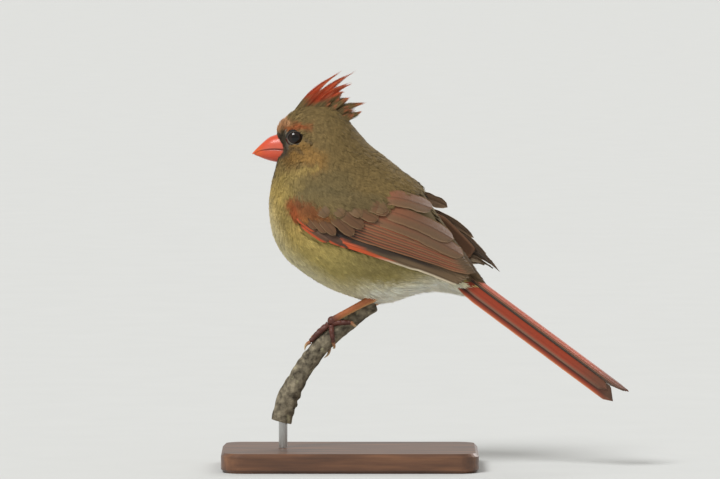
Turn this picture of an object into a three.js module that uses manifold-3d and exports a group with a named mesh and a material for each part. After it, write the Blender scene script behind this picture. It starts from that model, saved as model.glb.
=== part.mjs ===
// Female northern cardinal, life size, perched on a short cut length of branch and held by a
// plain display stand. Millimetres, +Z up. The bird faces -X with its tail towards +X, and its
// mid-plane is y = 0, with its left side towards -Y. The origin is the middle of the underside
// of the stand's base, which rests on the floor.

import * as THREE from "three";
import { mergeVertices } from "three/addons/utils/BufferGeometryUtils.js";
import Module from "manifold-3d";

const wasm = await Module();
wasm.setup();

// Driving dimensions

const GAP = 0.3; // clearance left between two pieces that meet
const BODY_SIDES = 24; // points round the body
const RINGS_PER_STATION = 2; // body rings between two measured stations

// Section lines across the body in its mid-plane, from the bill's base to the tip of the
// undertail coverts: the low end (x, z), the high end (x, z), the half width, and where on
// the line the body is widest (0 at the low end, 1 at the high end).
const BODY = [
  [-32.2, 141.2, -33.6, 154.1, 4.6, 0.5], // face, round the bill's base
  [-34.0, 137.5, -29.5, 161.5, 8.6, 0.52], // chin to forehead
  [-35.8, 132.0, -21.0, 166.6, 12.3, 0.46], // throat to crown
  [-36.8, 124.7, -10.1, 167.0, 17.5, 0.38], // lower throat to hind crown
  [-36.9, 119.1, -3.2, 162.8, 22.5, 0.4], // upper breast to nape
  [-36.3, 112.2, 2.8, 155.5, 26.5, 0.42], // breast to lower nape
  [-34.5, 105.3, 8.7, 149.0, 29.0, 0.44], // breast to mantle
  [-30.4, 98.0, 15.6, 143.5, 30.5, 0.46], // lower breast to back
  [-23.0, 91.1, 23.0, 137.5, 31.0, 0.48], // belly to back, the widest section
  [-7.5, 81.9, 32.0, 128.2, 29.0, 0.5], // belly to lower back
  [10.1, 76.8, 39.1, 118.2, 24.0, 0.5], // thighs to rump
  [20.7, 77.7, 43.2, 112.2, 20.0, 0.5], // vent to rump
  [31.3, 81.4, 47.4, 105.8, 15.5, 0.5], // undertail to rump
  [40.5, 82.1, 52.0, 99.8, 11.5, 0.5], // undertail to uppertail coverts
  [48.8, 79.8, 56.6, 93.4, 8.0, 0.5], // tail base
  [55.7, 78.2, 60.3, 87.9, 5.0, 0.5], // tips of the undertail coverts
];
const FACE_NARROW = 0.64; // share of its width that the face loses at the bill's gape
const FACE_NARROW_REACH = 5.6; // and how far round the gape that reaches
const FACE_NARROW_AT = [-33.5, 146.5];
const HEAD_END = 3.3; // the stations at which the body is parted, counted from 0 at the face
const NECK_END = 5.0;
const TRUNK_END = 12.0;

// The bill, as sections from its base to its tip: top (x, z), bottom (x, z), half width.
const BILL_UPPER = [
  [-32.6, 153.8, -29.9, 146.4, 5.9],
  [-36.8, 152.5, -34.5, 146.7, 5.1],
  [-40.0, 150.4, -38.4, 146.5, 3.8],
  [-42.8, 147.9, -41.9, 145.9, 2.1],
  [-45.0, 144.8, -44.6, 144.4, 0.35],
];
const BILL_LOWER = [
  [-29.9, 146.1, -31.7, 140.6, 5.6],
  [-34.5, 146.4, -35.4, 141.1, 4.8],
  [-38.4, 146.2, -38.9, 142.1, 3.5],
  [-41.6, 145.5, -41.9, 143.3, 1.9],
  [-43.9, 144.4, -43.8, 144.0, 0.4],
];

const EYE_RADIUS = 4.4;
const EYE_CENTRE = [-25.1, 8.9, 152.3]; // on the right side, mirrored for the left

// Locks of the half-raised crest: root (x, z), a point on the way (x, z), tip (x, z), and
// the half width of the root in the mid-plane.
const CREST = [
  [-28.6, 158.0, -18.6, 172.4, -4.1, 182.6, 3.2],
  [-23.9, 162.0, -12.0, 174.6, 3.0, 182.4, 3.4],
  [-20.2, 163.5, -8.7, 173.2, 1.2, 177.1, 3.2],
  [-16.0, 164.0, -8.3, 170.7, -2.8, 173.4, 3.0],
  [-12.9, 163.5, -5.5, 169.0, -0.2, 170.6, 3.0],
  [-9.2, 162.0, -1.8, 166.8, 7.4, 167.7, 2.8],
  [-7.0, 159.5, 0.0, 163.2, 5.5, 164.0, 2.6],
];
const CREST_SIDE_SPREAD = 5.0; // how far the outer locks' roots stand from the mid-plane

// The folded wing's outline as lines across it, from the wrist to the tip: lower edge (x, z),
// upper edge (x, z), and the least distance of each edge from the mid-plane. Where the body
// is wider than that, the wing lies on the body.
const WING = [
  [-28.6, 119.5, -29.0, 127.5, 8.0, 8.0],
  [-23.5, 110.5, -20.0, 132.5, 8.0, 8.0],
  [-13.0, 105.0, -5.0, 135.0, 8.0, 8.0],
  [0.0, 101.2, 10.6, 133.2, 8.0, 8.0],
  [11.5, 98.9, 21.6, 129.7, 10.0, 7.5],
  [21.2, 96.8, 30.4, 124.8, 15.0, 7.0],
  [29.0, 94.1, 36.8, 117.2, 20.0, 7.0],
  [37.3, 90.4, 43.2, 109.0, 16.0, 6.5],
  [44.0, 87.5, 48.6, 101.2, 12.0, 6.0],
];
const WING_PARTING = 4.2; // the line of the coverts' tips, as a station of WING
const WING_THICKNESS = 1.2;
const WING_CAMBER = 1.6; // how far the flight feathers bow outwards
const WING_RINGS = 14;
const WING_ROWS = 6;

// The right wing is held further back than the left, and its flight feathers higher.
const RIGHT_WING_BACK = [3.0, 7.0]; // at the wrist, and added towards the tip
const RIGHT_WING_RISE = 7.0; // lower edge, at the tip

// Feathers that reach past each wing's sheet: root as a place on the wing (station, and
// 0 to 1 up from the lower edge), tip (x, distance from the mid-plane, z), half width.
const LEFT_TIPS = [
  [5.5, 0.86, 45.5, 6.6, 104.4, 4.2],
  [6.0, 0.66, 50.1, 7.0, 97.5, 4.0],
  [6.2, 0.44, 55.6, 7.4, 90.9, 3.6],
  [6.0, 0.14, 52.4, 8.4, 84.6, 2.8],
];
const RIGHT_TIPS = [
  [5.5, 0.86, 49.8, 6.6, 106.4, 4.2],
  [6.0, 0.74, 54.6, 6.6, 101.4, 3.4],
  [6.2, 0.62, 66.0, 6.4, 91.6, 2.9],
];
const WING_FEATHER_THICKNESS = 0.9;

// The folded tail: twelve feathers side by side under a roof, the middle pair on top.
const TAIL_ROOT = [59.2, 0, 86.6]; // ridge of the roof at the coverts' tips
const TAIL_SLOPE = THREE.MathUtils.degToRad(36.6); // below the horizontal
const TAIL_LENGTHS = [86.0, 85.0, 84.0, 82.5, 80.5, 78.0]; // middle pair to outer pair
const TAIL_NOTCH = 2.2; // how far the gap between two tips reaches up from them
const TAIL_HALF_WIDTH = 10.0; // at the tips
const TAIL_DEPTH = 9.8; // from the ridge down to the outer feathers' edges
const TAIL_ARCH = THREE.MathUtils.degToRad(75); // how far each side of the roof curves down
const TAIL_THICKNESS = 1.0;
const TAIL_ROOT_WIDTH = 0.72; // the root's width against the tips'
const TAIL_RINGS = 5;

// The perch, a cut length of branch: centre line (x, z) and radius, from the saw cut up to
// the broken end under the belly.
const PERCH = [
  [-31.7, 21.2, 4.6],
  [-29.0, 31.3, 4.7],
  [-24.4, 40.5, 4.3],
  [-18.9, 48.8, 4.0],
  [-12.9, 56.6, 4.2],
  [-6.9, 62.1, 4.1],
  [0.0, 67.6, 3.9],
  [5.5, 72.2, 4.0],
  [11.6, 75.4, 3.3],
];
const PERCH_SIDES = 10;
const PERCH_RINGS = 16;

// Legs, from inside the belly feathers over the heel to the ball of the foot: x, distance
// from the mid-plane, z, radius.
const LEFT_LEG = [
  [15.5, 10.0, 83.5, 2.6],
  [10.4, 9.0, 78.9, 2.3],
  [6.8, 8.2, 76.6, 1.7],
  [-1.5, 6.0, 72.0, 1.5],
  [-8.4, 4.0, 68.0, 1.6],
];
const RIGHT_LEG = [
  [21.0, 10.0, 84.0, 2.6],
  [16.4, 9.4, 78.9, 2.3],
  [12.6, 8.8, 76.2, 1.7],
  [4.0, 7.2, 71.4, 1.5],
  [-3.6, 6.0, 67.2, 1.6],
];

// Toes, each laid along the perch: station on the perch and angle round it (0 on its upper
// left, positive towards the foot's own side) at the root and at the end, and then the
// claw's tip. The radius is at the root.
const LEFT_TOES = [
  { from: [5.05, 32], to: [3.75, 22], claw: [3.3, 2], radius: 1.45 },
  { from: [5.1, 50], to: [4.6, 118], claw: [4.3, 168], radius: 1.3 },
  { from: [5.05, 20], to: [4.1, 0], claw: [3.75, -14], radius: 1.2 },
  { from: [5.25, 42], to: [6.0, 96], claw: [6.1, 142], radius: 1.4 },
];
const RIGHT_TOES = [
  { from: [5.55, 40], to: [4.2, 66], claw: [3.75, 92], radius: 1.45 },
  { from: [5.6, 58], to: [4.2, 128], claw: [3.55, 172], radius: 1.3 },
  { from: [5.6, 30], to: [4.9, 24], claw: [4.6, 16], radius: 1.2 },
  { from: [5.75, 48], to: [6.4, 100], claw: [6.5, 146], radius: 1.4 },
];
const BALL_RADIUS = 2.0;
const CLAW_TIP_RADIUS = 0.3;

const BASE_LENGTH = 118.0;
const BASE_WIDTH = 78.0;
const BASE_HEIGHT = 9.0;
const BASE_CORNER = 10.0;
const BASE_CHAMFER = 1.5;
const ROD_RADIUS = 2.0;
const ROD_X = -30.8;
const ROD_TOP = 29.0; // the rod ends in a socket in the perch

// General helpers

// Smooth row of numbers between the rows of a table, at station s.
function rowAt(table, s) {
  const last = table.length - 1;
  const i = Math.min(Math.floor(Math.max(s, 0)), last - 1);
  const f = s - i;
  const before = table[Math.max(i - 1, 0)];
  const after = table[Math.min(i + 2, last)];
  return table[i].map((a, k) => {
    const b = table[i + 1][k];
    const slopeA = (b - before[k]) / 2;
    const slopeB = (after[k] - a) / 2;
    const f2 = f * f;
    const f3 = f2 * f;
    return a * (2 * f3 - 3 * f2 + 1) + slopeA * (f3 - 2 * f2 + f)
      + b * (3 * f2 - 2 * f3) + slopeB * (f3 - f2);
  });
}

// Evenly spaced numbers from a to b.
function steps(a, b, count) {
  return Array.from({ length: count + 1 }, (_, i) => a + ((b - a) * i) / count);
}

function signedVolume(positions, index) {
  const [a, b, c] = [new THREE.Vector3(), new THREE.Vector3(), new THREE.Vector3()];
  let volume = 0;
  for (let i = 0; i < index.length; i += 3) {
    a.fromArray(positions, 3 * index[i]);
    b.fromArray(positions, 3 * index[i + 1]);
    c.fromArray(positions, 3 * index[i + 2]);
    volume += a.dot(b.cross(c)) / 6;
  }
  return volume;
}

// The triangles over an end ring of a loft: a fan round the ring's centre.
function fanCap(first, sides, centre) {
  return steps(0, sides - 1, sides - 1).flatMap((j) => [first + j, first + ((j + 1) % sides), centre]);
}

// The same for a ring that runs along a sheet's one face and back along its other face.
function sheetCap(first, sides) {
  return steps(0, sides / 2 - 2, sides / 2 - 2).flatMap((j) => {
    const [a, b] = [first + j, first + j + 1];
    const [c, d] = [first + sides - 2 - j, first + sides - 1 - j];
    return [a, b, c, a, c, d];
  });
}

// Closed solid through rings of points.
function loft(rings, cap = fanCap) {
  const sides = rings[0].length;
  const points = rings.flat();
  const index = [];
  for (let i = 0; i + 1 < rings.length; i += 1) {
    for (let j = 0; j < sides; j += 1) {
      const a = i * sides + j;
      const b = i * sides + ((j + 1) % sides);
      index.push(a, b, b + sides, a, b + sides, a + sides);
    }
  }
  const lastRing = (rings.length - 1) * sides;
  if (cap === fanCap) {
    for (const ring of [rings[0], rings.at(-1)]) {
      const sum = ring.reduce((total, p) => total.add(p), new THREE.Vector3());
      points.push(sum.divideScalar(sides));
    }
  }
  const centre = rings.length * sides;
  index.push(...cap(0, sides, centre).reverse(), ...cap(lastRing, sides, centre + 1));
  const positions = points.flatMap((p) => p.toArray());
  if (signedVolume(positions, index) < 0) index.reverse();
  const geometry = new THREE.BufferGeometry();
  geometry.setAttribute("position", new THREE.Float32BufferAttribute(positions, 3));
  geometry.setIndex(index);
  return geometry;
}

function toSolid(geometry) {
  const bare = geometry.clone();
  bare.deleteAttribute("normal");
  bare.deleteAttribute("uv");
  const merged = mergeVertices(bare);
  return new wasm.Manifold(new wasm.Mesh({
    numProp: 3,
    vertProperties: new Float32Array(merged.attributes.position.array),
    triVerts: new Uint32Array(merged.index.array),
  }));
}

function toGeometry(solid) {
  const mesh = solid.getMesh();
  const geometry = new THREE.BufferGeometry();
  geometry.setAttribute("position", new THREE.BufferAttribute(mesh.vertProperties, 3));
  geometry.setIndex(new THREE.BufferAttribute(mesh.triVerts, 1));
  geometry.computeVertexNormals();
  return geometry;
}

function join(solids) {
  return solids.reduce((whole, next) => whole.add(next));
}

// The largest body of a solid that a cut may have left in several.
function largest(solid) {
  return solid.decompose().reduce((best, next) => (next.volume() > best.volume() ? next : best));
}

const bird = new THREE.Group();

function addPart(name, solid, colour, roughness, metalness = 0) {
  const material = new THREE.MeshStandardMaterial({ color: colour, roughness, metalness });
  const mesh = new THREE.Mesh(toGeometry(largest(solid)), material);
  mesh.name = name;
  bird.add(mesh);
}

// Body

// A ring round the body at station s, swollen by grow.
function bodyRing(s, grow = 0) {
  const [lowX, lowZ, highX, highZ, half, widest] = rowAt(BODY, s);
  const low = new THREE.Vector3(lowX, 0, lowZ);
  const line = new THREE.Vector3(highX, 0, highZ).sub(low);
  const out = grow / line.length();
  const shape = Math.log(0.5) / Math.log(widest);
  return steps(0, 2 * Math.PI, BODY_SIDES).slice(0, -1).map((angle) => {
    const t = (1 - Math.cos(angle)) / 2;
    const bulge = Math.sqrt(Math.max(t ** shape * (1 - t ** shape), 0));
    const point = low.clone().addScaledVector(line, -out + t * (1 + 2 * out));
    const toGape = Math.hypot(point.x - FACE_NARROW_AT[0], point.z - FACE_NARROW_AT[1]);
    const narrowed = 1 - FACE_NARROW * Math.exp(-((toGape / FACE_NARROW_REACH) ** 2));
    point.y = -Math.sign(Math.sin(angle)) * 2 * (half * narrowed + grow) * bulge;
    return point;
  });
}

function bodyPart(from, to, grow = 0) {
  const count = Math.max(Math.round((to - from) * RINGS_PER_STATION), 1);
  return toSolid(loft(steps(from, to, count).map((s) => bodyRing(s, grow))));
}

// Half width of the body where a line across it passes (x, z), or 0 outside its outline.
function bodyDepth(x, z) {
  const side = (s) => {
    const [lowX, lowZ, highX, highZ] = rowAt(BODY, s);
    return (highX - lowX) * (z - lowZ) - (highZ - lowZ) * (x - lowX);
  };
  let [a, b] = [0, BODY.length - 1];
  if (side(a) > 0 || side(b) < 0) return 0;
  for (let i = 0; i < 24; i += 1) {
    const middle = (a + b) / 2;
    if (side(middle) < 0) a = middle;
    else b = middle;
  }
  const [lowX, lowZ, highX, highZ, half, widest] = rowAt(BODY, a);
  const t = ((x - lowX) * (highX - lowX) + (z - lowZ) * (highZ - lowZ))
    / ((highX - lowX) ** 2 + (highZ - lowZ) ** 2);
  if (t <= 0 || t >= 1) return 0;
  const bent = t ** (Math.log(0.5) / Math.log(widest));
  return 2 * half * Math.sqrt(bent * (1 - bent));
}

const BODY_LAST = BODY.length - 1;
const PARTING = 0.03; // half of a parting cut, in stations
const wholeBody = bodyPart(0, BODY_LAST, GAP);

// Bill and eyes

// Half of the bill: flat along the gape, and round over the ridge or the keel.
function mandible(table, grow, gapeIsLow) {
  const rings = steps(0, table.length - 1, 2 * (table.length - 1)).map((s) => {
    const [highX, highZ, lowX, lowZ, half] = rowAt(table, s);
    const gape = gapeIsLow ? [lowX, lowZ] : [highX, highZ];
    const ridge = gapeIsLow ? [highX, highZ] : [lowX, lowZ];
    return steps(0, Math.PI, 8).map((angle) => {
      const t = Math.sin(angle);
      const x = gape[0] + (ridge[0] - gape[0]) * t * (1 + grow / 4);
      const z = gape[1] + (ridge[1] - gape[1]) * t * (1 + grow / 4);
      return new THREE.Vector3(x, (half + grow) * Math.cos(angle), z);
    });
  });
  return toSolid(loft(rings));
}

function eyeball(side, grow = 0) {
  const ball = new THREE.SphereGeometry(EYE_RADIUS + grow, 12, 8);
  ball.translate(EYE_CENTRE[0], side * EYE_CENTRE[1], EYE_CENTRE[2]);
  return toSolid(ball);
}

// Feathers and locks

// A thin blade from root to tip. Normal is the way its flat side faces.
function blade(root, tip, halfWidth, thickness, normal) {
  const along = tip.clone().sub(root);
  const across = along.clone().cross(normal).normalize();
  const up = across.clone().cross(along).normalize();
  const rings = [0, 0.25, 0.5, 0.75, 0.9, 1].map((q) => {
    const taper = q < 0.6 ? 0.8 + 0.2 * (q / 0.6) : Math.sqrt(1 - ((q - 0.6) / 0.4) ** 2 * 0.97);
    const centre = root.clone().addScaledVector(along, q);
    return steps(0, 2 * Math.PI, 4).slice(0, -1).map((angle) => centre.clone()
      .addScaledVector(across, halfWidth * taper * Math.cos(angle))
      .addScaledVector(up, 0.5 * thickness * Math.sin(angle)));
  });
  return toSolid(loft(rings));
}

// A tapered tube through points that each carry a radius.
function tube(table, sides, rings, flatten = 1) {
  const point = (s) => new THREE.Vector3(...rowAt(table, s).slice(0, 3));
  const last = table.length - 1;
  const circles = steps(0, last, rings).map((s) => {
    const radius = rowAt(table, s)[3];
    const ahead = point(Math.min(s + 0.05, last)).sub(point(Math.max(s - 0.05, 0)));
    const across = new THREE.Vector3(0, 1, 0).cross(ahead).normalize();
    const up = ahead.clone().cross(across).normalize();
    return steps(0, 2 * Math.PI, sides).slice(0, -1).map((angle) => point(s)
      .addScaledVector(across, radius * Math.cos(angle))
      .addScaledVector(up, radius * flatten * Math.sin(angle)));
  });
  return toSolid(loft(circles));
}

// The crest: every other lock in the mid-plane is flanked by a shorter one on either side.
function crest() {
  const locks = [];
  for (const [i, [rootX, rootZ, midX, midZ, tipX, tipZ, half]] of CREST.entries()) {
    for (const side of i % 2 === 0 ? [-1, 0, 1] : [0]) {
      const spread = side * CREST_SIDE_SPREAD;
      const reach = side === 0 ? 1 : 0.82;
      const toTip = (from, to) => from + (to - from) * reach;
      locks.push(tube([
        [rootX, spread, rootZ - Math.abs(side) * 1.5, half],
        [midX, spread * 0.6, midZ - Math.abs(side), half * 0.72],
        [toTip(midX, tipX), spread * 0.2, toTip(midZ, tipZ), 0.45],
      ], 5, 3, 0.9));
    }
  }
  return join(locks);
}

// Wings

// A point of the folded wing's sheet at station u and height v (0 lower edge, 1 upper edge),
// for side -1 (left) or 1 (right), lifted off the sheet by lift.
function wingPoint(u, v, side, lift = 0) {
  const bare = (uu, vv) => {
    const [lowX, lowZ, highX, highZ, lowY, highY] = rowAt(WING, uu);
    const q = uu / (WING.length - 1);
    const back = side > 0 ? RIGHT_WING_BACK[0] + RIGHT_WING_BACK[1] * q : 0;
    const rise = side > 0 ? RIGHT_WING_RISE * q * q * (1 - vv) : 0;
    const x = lowX + (highX - lowX) * vv + back;
    const z = lowZ + (highZ - lowZ) * vv + rise;
    const least = lowY + (highY - lowY) * vv + WING_CAMBER * q * 4 * vv * (1 - vv);
    return new THREE.Vector3(x, side * Math.max(bodyDepth(x, z), least), z);
  };
  const small = 0.02;
  const alongU = bare(u + small, v).sub(bare(u - small, v));
  const alongV = bare(u, v + small).sub(bare(u, v - small));
  const normal = alongU.cross(alongV).normalize();
  if (normal.y * side < 0) normal.negate();
  return bare(u, v).addScaledVector(normal, lift);
}

// The sheet between two stations, with its inner face sunk into the body and cut off there.
function wingSheet(from, to, side) {
  const rings = Math.max(Math.round((WING_RINGS * (to - from)) / (WING.length - 1)), 2);
  const rows = steps(0, 1, WING_ROWS);
  const sheet = toSolid(loft(steps(from, to, rings).map((u) => {
    const inner = -Math.max(1.6 - 0.2 * u, 0.3);
    return [
      ...rows.map((v) => wingPoint(u, v, side, WING_THICKNESS)),
      ...rows.toReversed().map((v) => wingPoint(u, v, side, inner)),
    ];
  }), sheetCap));
  return sheet;
}

function wingFeathers(table, side) {
  const outwards = new THREE.Vector3(0.25, side, 0.35);
  return table.map(([u, v, tipX, tipY, tipZ, half]) => blade(
    wingPoint(u, v, side, 0.4 * WING_THICKNESS),
    new THREE.Vector3(tipX, side * tipY, tipZ),
    half,
    WING_FEATHER_THICKNESS,
    outwards,
  ));
}

// Tail

// Columns of the tail's sheet, from its left edge over the ridge to its right edge. Each is
// how far out it lies (0 at the ridge, 1 at the edge, signed by side) and its length.
function tailColumns() {
  const pairs = TAIL_LENGTHS.length;
  const half = TAIL_LENGTHS.flatMap((length, pair) => {
    const next = TAIL_LENGTHS[pair + 1] ?? length - TAIL_NOTCH;
    return [[(pair + 0.5) / pairs, length], [(pair + 1) / pairs, next - TAIL_NOTCH]];
  });
  const middle = [0, TAIL_LENGTHS[0] - TAIL_NOTCH];
  return [...half.toReversed().map(([out, length]) => [-out, length]), middle, ...half];
}

function tail() {
  const along = new THREE.Vector3(Math.cos(TAIL_SLOPE), 0, -Math.sin(TAIL_SLOPE));
  const up = new THREE.Vector3(Math.sin(TAIL_SLOPE), 0, Math.cos(TAIL_SLOPE));
  const columns = tailColumns();
  const place = ([out, length], q, lift) => {
    const turn = out * TAIL_ARCH;
    const width = TAIL_HALF_WIDTH * (TAIL_ROOT_WIDTH + (1 - TAIL_ROOT_WIDTH) * q);
    const down = (TAIL_DEPTH * (1 - Math.cos(turn))) / (1 - Math.cos(TAIL_ARCH));
    const point = new THREE.Vector3(...TAIL_ROOT)
      .addScaledVector(along, length * q)
      .addScaledVector(up, lift * Math.cos(turn) - down);
    point.y = (width * Math.sin(turn)) / Math.sin(TAIL_ARCH) + lift * Math.sin(turn);
    return point;
  };
  const thickness = (q) => TAIL_THICKNESS * (1 - 0.4 * q);
  return toSolid(loft(steps(0, 1, TAIL_RINGS).map((q) => [
    ...columns.map((column) => place(column, q, 0)),
    ...columns.toReversed().map((column) => place(column, q, -thickness(q))),
  ]), sheetCap));
}

// Perch, legs and feet

function perch(grow = 0) {
  const table = PERCH.map(([x, z, radius]) => [x, 0, z, radius + grow]);
  return tube(table, PERCH_SIDES, PERCH_RINGS);
}

// A point over the perch's bark: angle in degrees round it, 0 on its upper left side and
// positive towards side; height is over the bark.
function onPerch(station, angle, side, height) {
  const [x, z, radius] = rowAt(PERCH, station);
  const [aheadX, aheadZ] = rowAt(PERCH, station + 0.05);
  const ahead = new THREE.Vector3(aheadX - x, 0, aheadZ - z).normalize();
  const upperLeft = new THREE.Vector3(-ahead.z, 0, ahead.x);
  const turn = THREE.MathUtils.degToRad(angle);
  const point = new THREE.Vector3(x, 0, z);
  point.addScaledVector(upperLeft, (radius + height) * Math.cos(turn));
  point.y += side * (radius + height) * Math.sin(turn);
  return point;
}

function toe({ from, to, claw, radius }, side, grow) {
  const between = (a, b, q) => [a[0] + (b[0] - a[0]) * q, a[1] + (b[1] - a[1]) * q];
  const row = (place, r, extra = 0) => {
    const point = onPerch(place[0], place[1], side, r + GAP + extra);
    return [point.x, point.y, point.z, r + grow];
  };
  const digit = steps(0, 1, 4).map((q) => row(between(from, to, q), radius * (1 - 0.25 * q)));
  const nail = [
    row(to, radius * 0.62, 0.2),
    row(between(to, claw, 0.5), radius * 0.45, 0.8),
    row(claw, CLAW_TIP_RADIUS, 0.1),
  ];
  return tube(digit, 6, 5).add(tube(nail, 5, 3));
}

function ball(leg, side, grow) {
  const [x, y, z] = leg.at(-1);
  const round = new THREE.SphereGeometry(BALL_RADIUS + grow, 8, 6);
  round.translate(x, side * y, z);
  return toSolid(round);
}

function foot(leg, toes, side, grow = 0) {
  return join([ball(leg, side, grow), ...toes.map((digit) => toe(digit, side, grow))]);
}

function shank(leg, side) {
  return tube(leg.map(([x, y, z, radius]) => [x, side * y, z, radius]), 8, 8);
}

// Stand

function base() {
  const [halfX, halfY] = [BASE_LENGTH / 2 - BASE_CHAMFER, BASE_WIDTH / 2 - BASE_CHAMFER];
  const corner = BASE_CORNER - BASE_CHAMFER;
  const outline = new THREE.Shape();
  outline.moveTo(-halfX + corner, -halfY);
  outline.lineTo(halfX - corner, -halfY);
  outline.absarc(halfX - corner, -halfY + corner, corner, -Math.PI / 2, 0);
  outline.lineTo(halfX, halfY - corner);
  outline.absarc(halfX - corner, halfY - corner, corner, 0, Math.PI / 2);
  outline.lineTo(-halfX + corner, halfY);
  outline.absarc(-halfX + corner, halfY - corner, corner, Math.PI / 2, Math.PI);
  outline.lineTo(-halfX, -halfY + corner);
  outline.absarc(-halfX + corner, -halfY + corner, corner, Math.PI, 1.5 * Math.PI);
  const plate = new THREE.ExtrudeGeometry(outline, {
    depth: BASE_HEIGHT - 2 * BASE_CHAMFER,
    bevelThickness: BASE_CHAMFER,
    bevelSize: BASE_CHAMFER,
    bevelSegments: 1,
    curveSegments: 4,
  });
  plate.translate(0, 0, BASE_CHAMFER);
  return toSolid(plate);
}

function rod(grow = 0) {
  const bottom = BASE_HEIGHT + GAP - grow;
  const length = ROD_TOP + grow - bottom;
  const cylinder = new THREE.CylinderGeometry(ROD_RADIUS + grow, ROD_RADIUS + grow, length, 16);
  cylinder.rotateX(Math.PI / 2);
  cylinder.translate(ROD_X, 0, bottom + length / 2);
  return toSolid(cylinder);
}

// The whole, piece by piece

const billUpper = mandible(BILL_UPPER, 0, true);
const billLower = mandible(BILL_LOWER, 0, false);
const billRoom = mandible(BILL_UPPER, GAP, true).add(mandible(BILL_LOWER, GAP, false));

const headSolid = bodyPart(0, HEAD_END - PARTING)
  .subtract(billRoom)
  .subtract(eyeball(-1, GAP))
  .subtract(eyeball(1, GAP));
addPart("head", headSolid, 0x7d6c48, 0.9);
addPart("crest", crest().subtract(wholeBody), 0xa0482c, 0.85);
addPart("bill_upper", billUpper, 0xd7553c, 0.45);
addPart("bill_lower", billLower, 0xc84a34, 0.45);
addPart("eye_left", eyeball(-1), 0x1a1210, 0.1);
addPart("eye_right", eyeball(1), 0x1a1210, 0.1);
addPart("neck", bodyPart(HEAD_END + PARTING, NECK_END - PARTING), 0x8a7a50, 0.9);
addPart("trunk", bodyPart(NECK_END + PARTING, TRUNK_END - PARTING), 0xa0946a, 0.9);
addPart("undertail_and_rump", bodyPart(TRUNK_END + PARTING, BODY_LAST), 0xc8c0a0, 0.9);

for (const [name, side, tips] of [["left", -1, LEFT_TIPS], ["right", 1, RIGHT_TIPS]]) {
  const coverts = wingSheet(0, WING_PARTING - PARTING, side).subtract(wholeBody);
  const sheet = wingSheet(WING_PARTING + PARTING, WING.length - 1, side);
  const flight = join([sheet, ...wingFeathers(tips, side)])
    .subtract(wholeBody)
    .subtract(wingSheet(0, WING_PARTING, side));
  addPart(`wing_${name}_coverts`, coverts, 0x785038, 0.8);
  addPart(`wing_${name}_flight`, flight, 0x8c4630, 0.75);
}

addPart("tail", tail().subtract(wholeBody), 0x803424, 0.7);

const perchRoom = perch(GAP);
addPart("perch", perch().subtract(wholeBody).subtract(rod(GAP)), 0x5f5848, 0.95);
for (const [name, side, leg, toes] of [
  ["left", -1, LEFT_LEG, LEFT_TOES],
  ["right", 1, RIGHT_LEG, RIGHT_TOES],
]) {
  const cleared = shank(leg, side)
    .subtract(wholeBody)
    .subtract(perchRoom)
    .subtract(foot(leg, toes, side, GAP));
  addPart(`leg_${name}`, cleared, 0xb46e4b, 0.6);
  const gripping = foot(leg, toes, side)
    .subtract(wholeBody)
    .subtract(perchRoom);
  addPart(`foot_${name}`, gripping, 0x7a4436, 0.6);
}

addPart("stand_rod", rod(), 0xb8b8b4, 0.3, 1);
addPart("stand_base", base(), 0x5a3a26, 0.5);

export default bird;
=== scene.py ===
import math

import bpy
import numpy as np
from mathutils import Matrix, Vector


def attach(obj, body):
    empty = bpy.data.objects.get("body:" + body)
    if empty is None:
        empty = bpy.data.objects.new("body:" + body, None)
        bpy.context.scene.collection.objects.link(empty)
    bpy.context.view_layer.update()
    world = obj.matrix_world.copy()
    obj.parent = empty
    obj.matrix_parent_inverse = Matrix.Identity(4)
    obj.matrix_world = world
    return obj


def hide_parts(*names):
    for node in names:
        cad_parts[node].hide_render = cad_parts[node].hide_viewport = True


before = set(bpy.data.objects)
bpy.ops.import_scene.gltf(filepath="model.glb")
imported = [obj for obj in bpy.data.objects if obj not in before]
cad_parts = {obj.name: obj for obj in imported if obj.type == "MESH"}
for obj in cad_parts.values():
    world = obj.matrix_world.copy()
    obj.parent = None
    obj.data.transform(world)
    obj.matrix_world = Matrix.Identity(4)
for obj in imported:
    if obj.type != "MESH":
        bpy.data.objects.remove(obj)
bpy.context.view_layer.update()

# Looks of a female northern cardinal, life size, gripping a cut length of branch on a plain
# rod stand. The bird faces -X, its left side is towards -Y, and +Z is up. Shapes are worked
# out in millimetres in the frame's own axes and written to the meshes in metres.

MM = 0.001
SIDES = {-1: "left", 1: "right"}
FULL_TURN = 2 * np.pi
rng = np.random.default_rng(7)

# The body, as section lines in its mid-plane from the bill's base to the undertail coverts'
# tips: low end x z, high end x z, half width, and where the line is widest (0 low, 1 high).
BODY = np.array([
    [-32.2, 141.2, -33.6, 154.1, 4.6, 0.5],
    [-34.0, 137.5, -29.5, 161.5, 8.6, 0.52],
    [-35.8, 132.0, -21.0, 166.6, 12.3, 0.46],
    [-36.8, 124.7, -10.1, 167.0, 17.5, 0.38],
    [-36.9, 119.1, -3.2, 162.8, 22.5, 0.4],
    [-36.3, 112.2, 2.8, 155.5, 26.5, 0.42],
    [-34.5, 105.3, 8.7, 149.0, 29.0, 0.44],
    [-30.4, 98.0, 15.6, 143.5, 30.5, 0.46],
    [-23.0, 91.1, 23.0, 137.5, 31.0, 0.48],
    [-7.5, 81.9, 32.0, 128.2, 29.0, 0.5],
    [10.1, 76.8, 39.1, 118.2, 24.0, 0.5],
    [20.7, 77.7, 43.2, 112.2, 20.0, 0.5],
    [31.3, 81.4, 47.4, 105.8, 15.5, 0.5],
    [40.5, 82.1, 52.0, 99.8, 11.5, 0.5],
    [48.8, 79.8, 56.6, 93.4, 8.0, 0.5],
    [55.7, 78.2, 60.3, 87.9, 5.0, 0.5],
])
BODY_END = len(BODY) - 1.0
BILL_BASE = (-33.5, 146.5)
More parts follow.
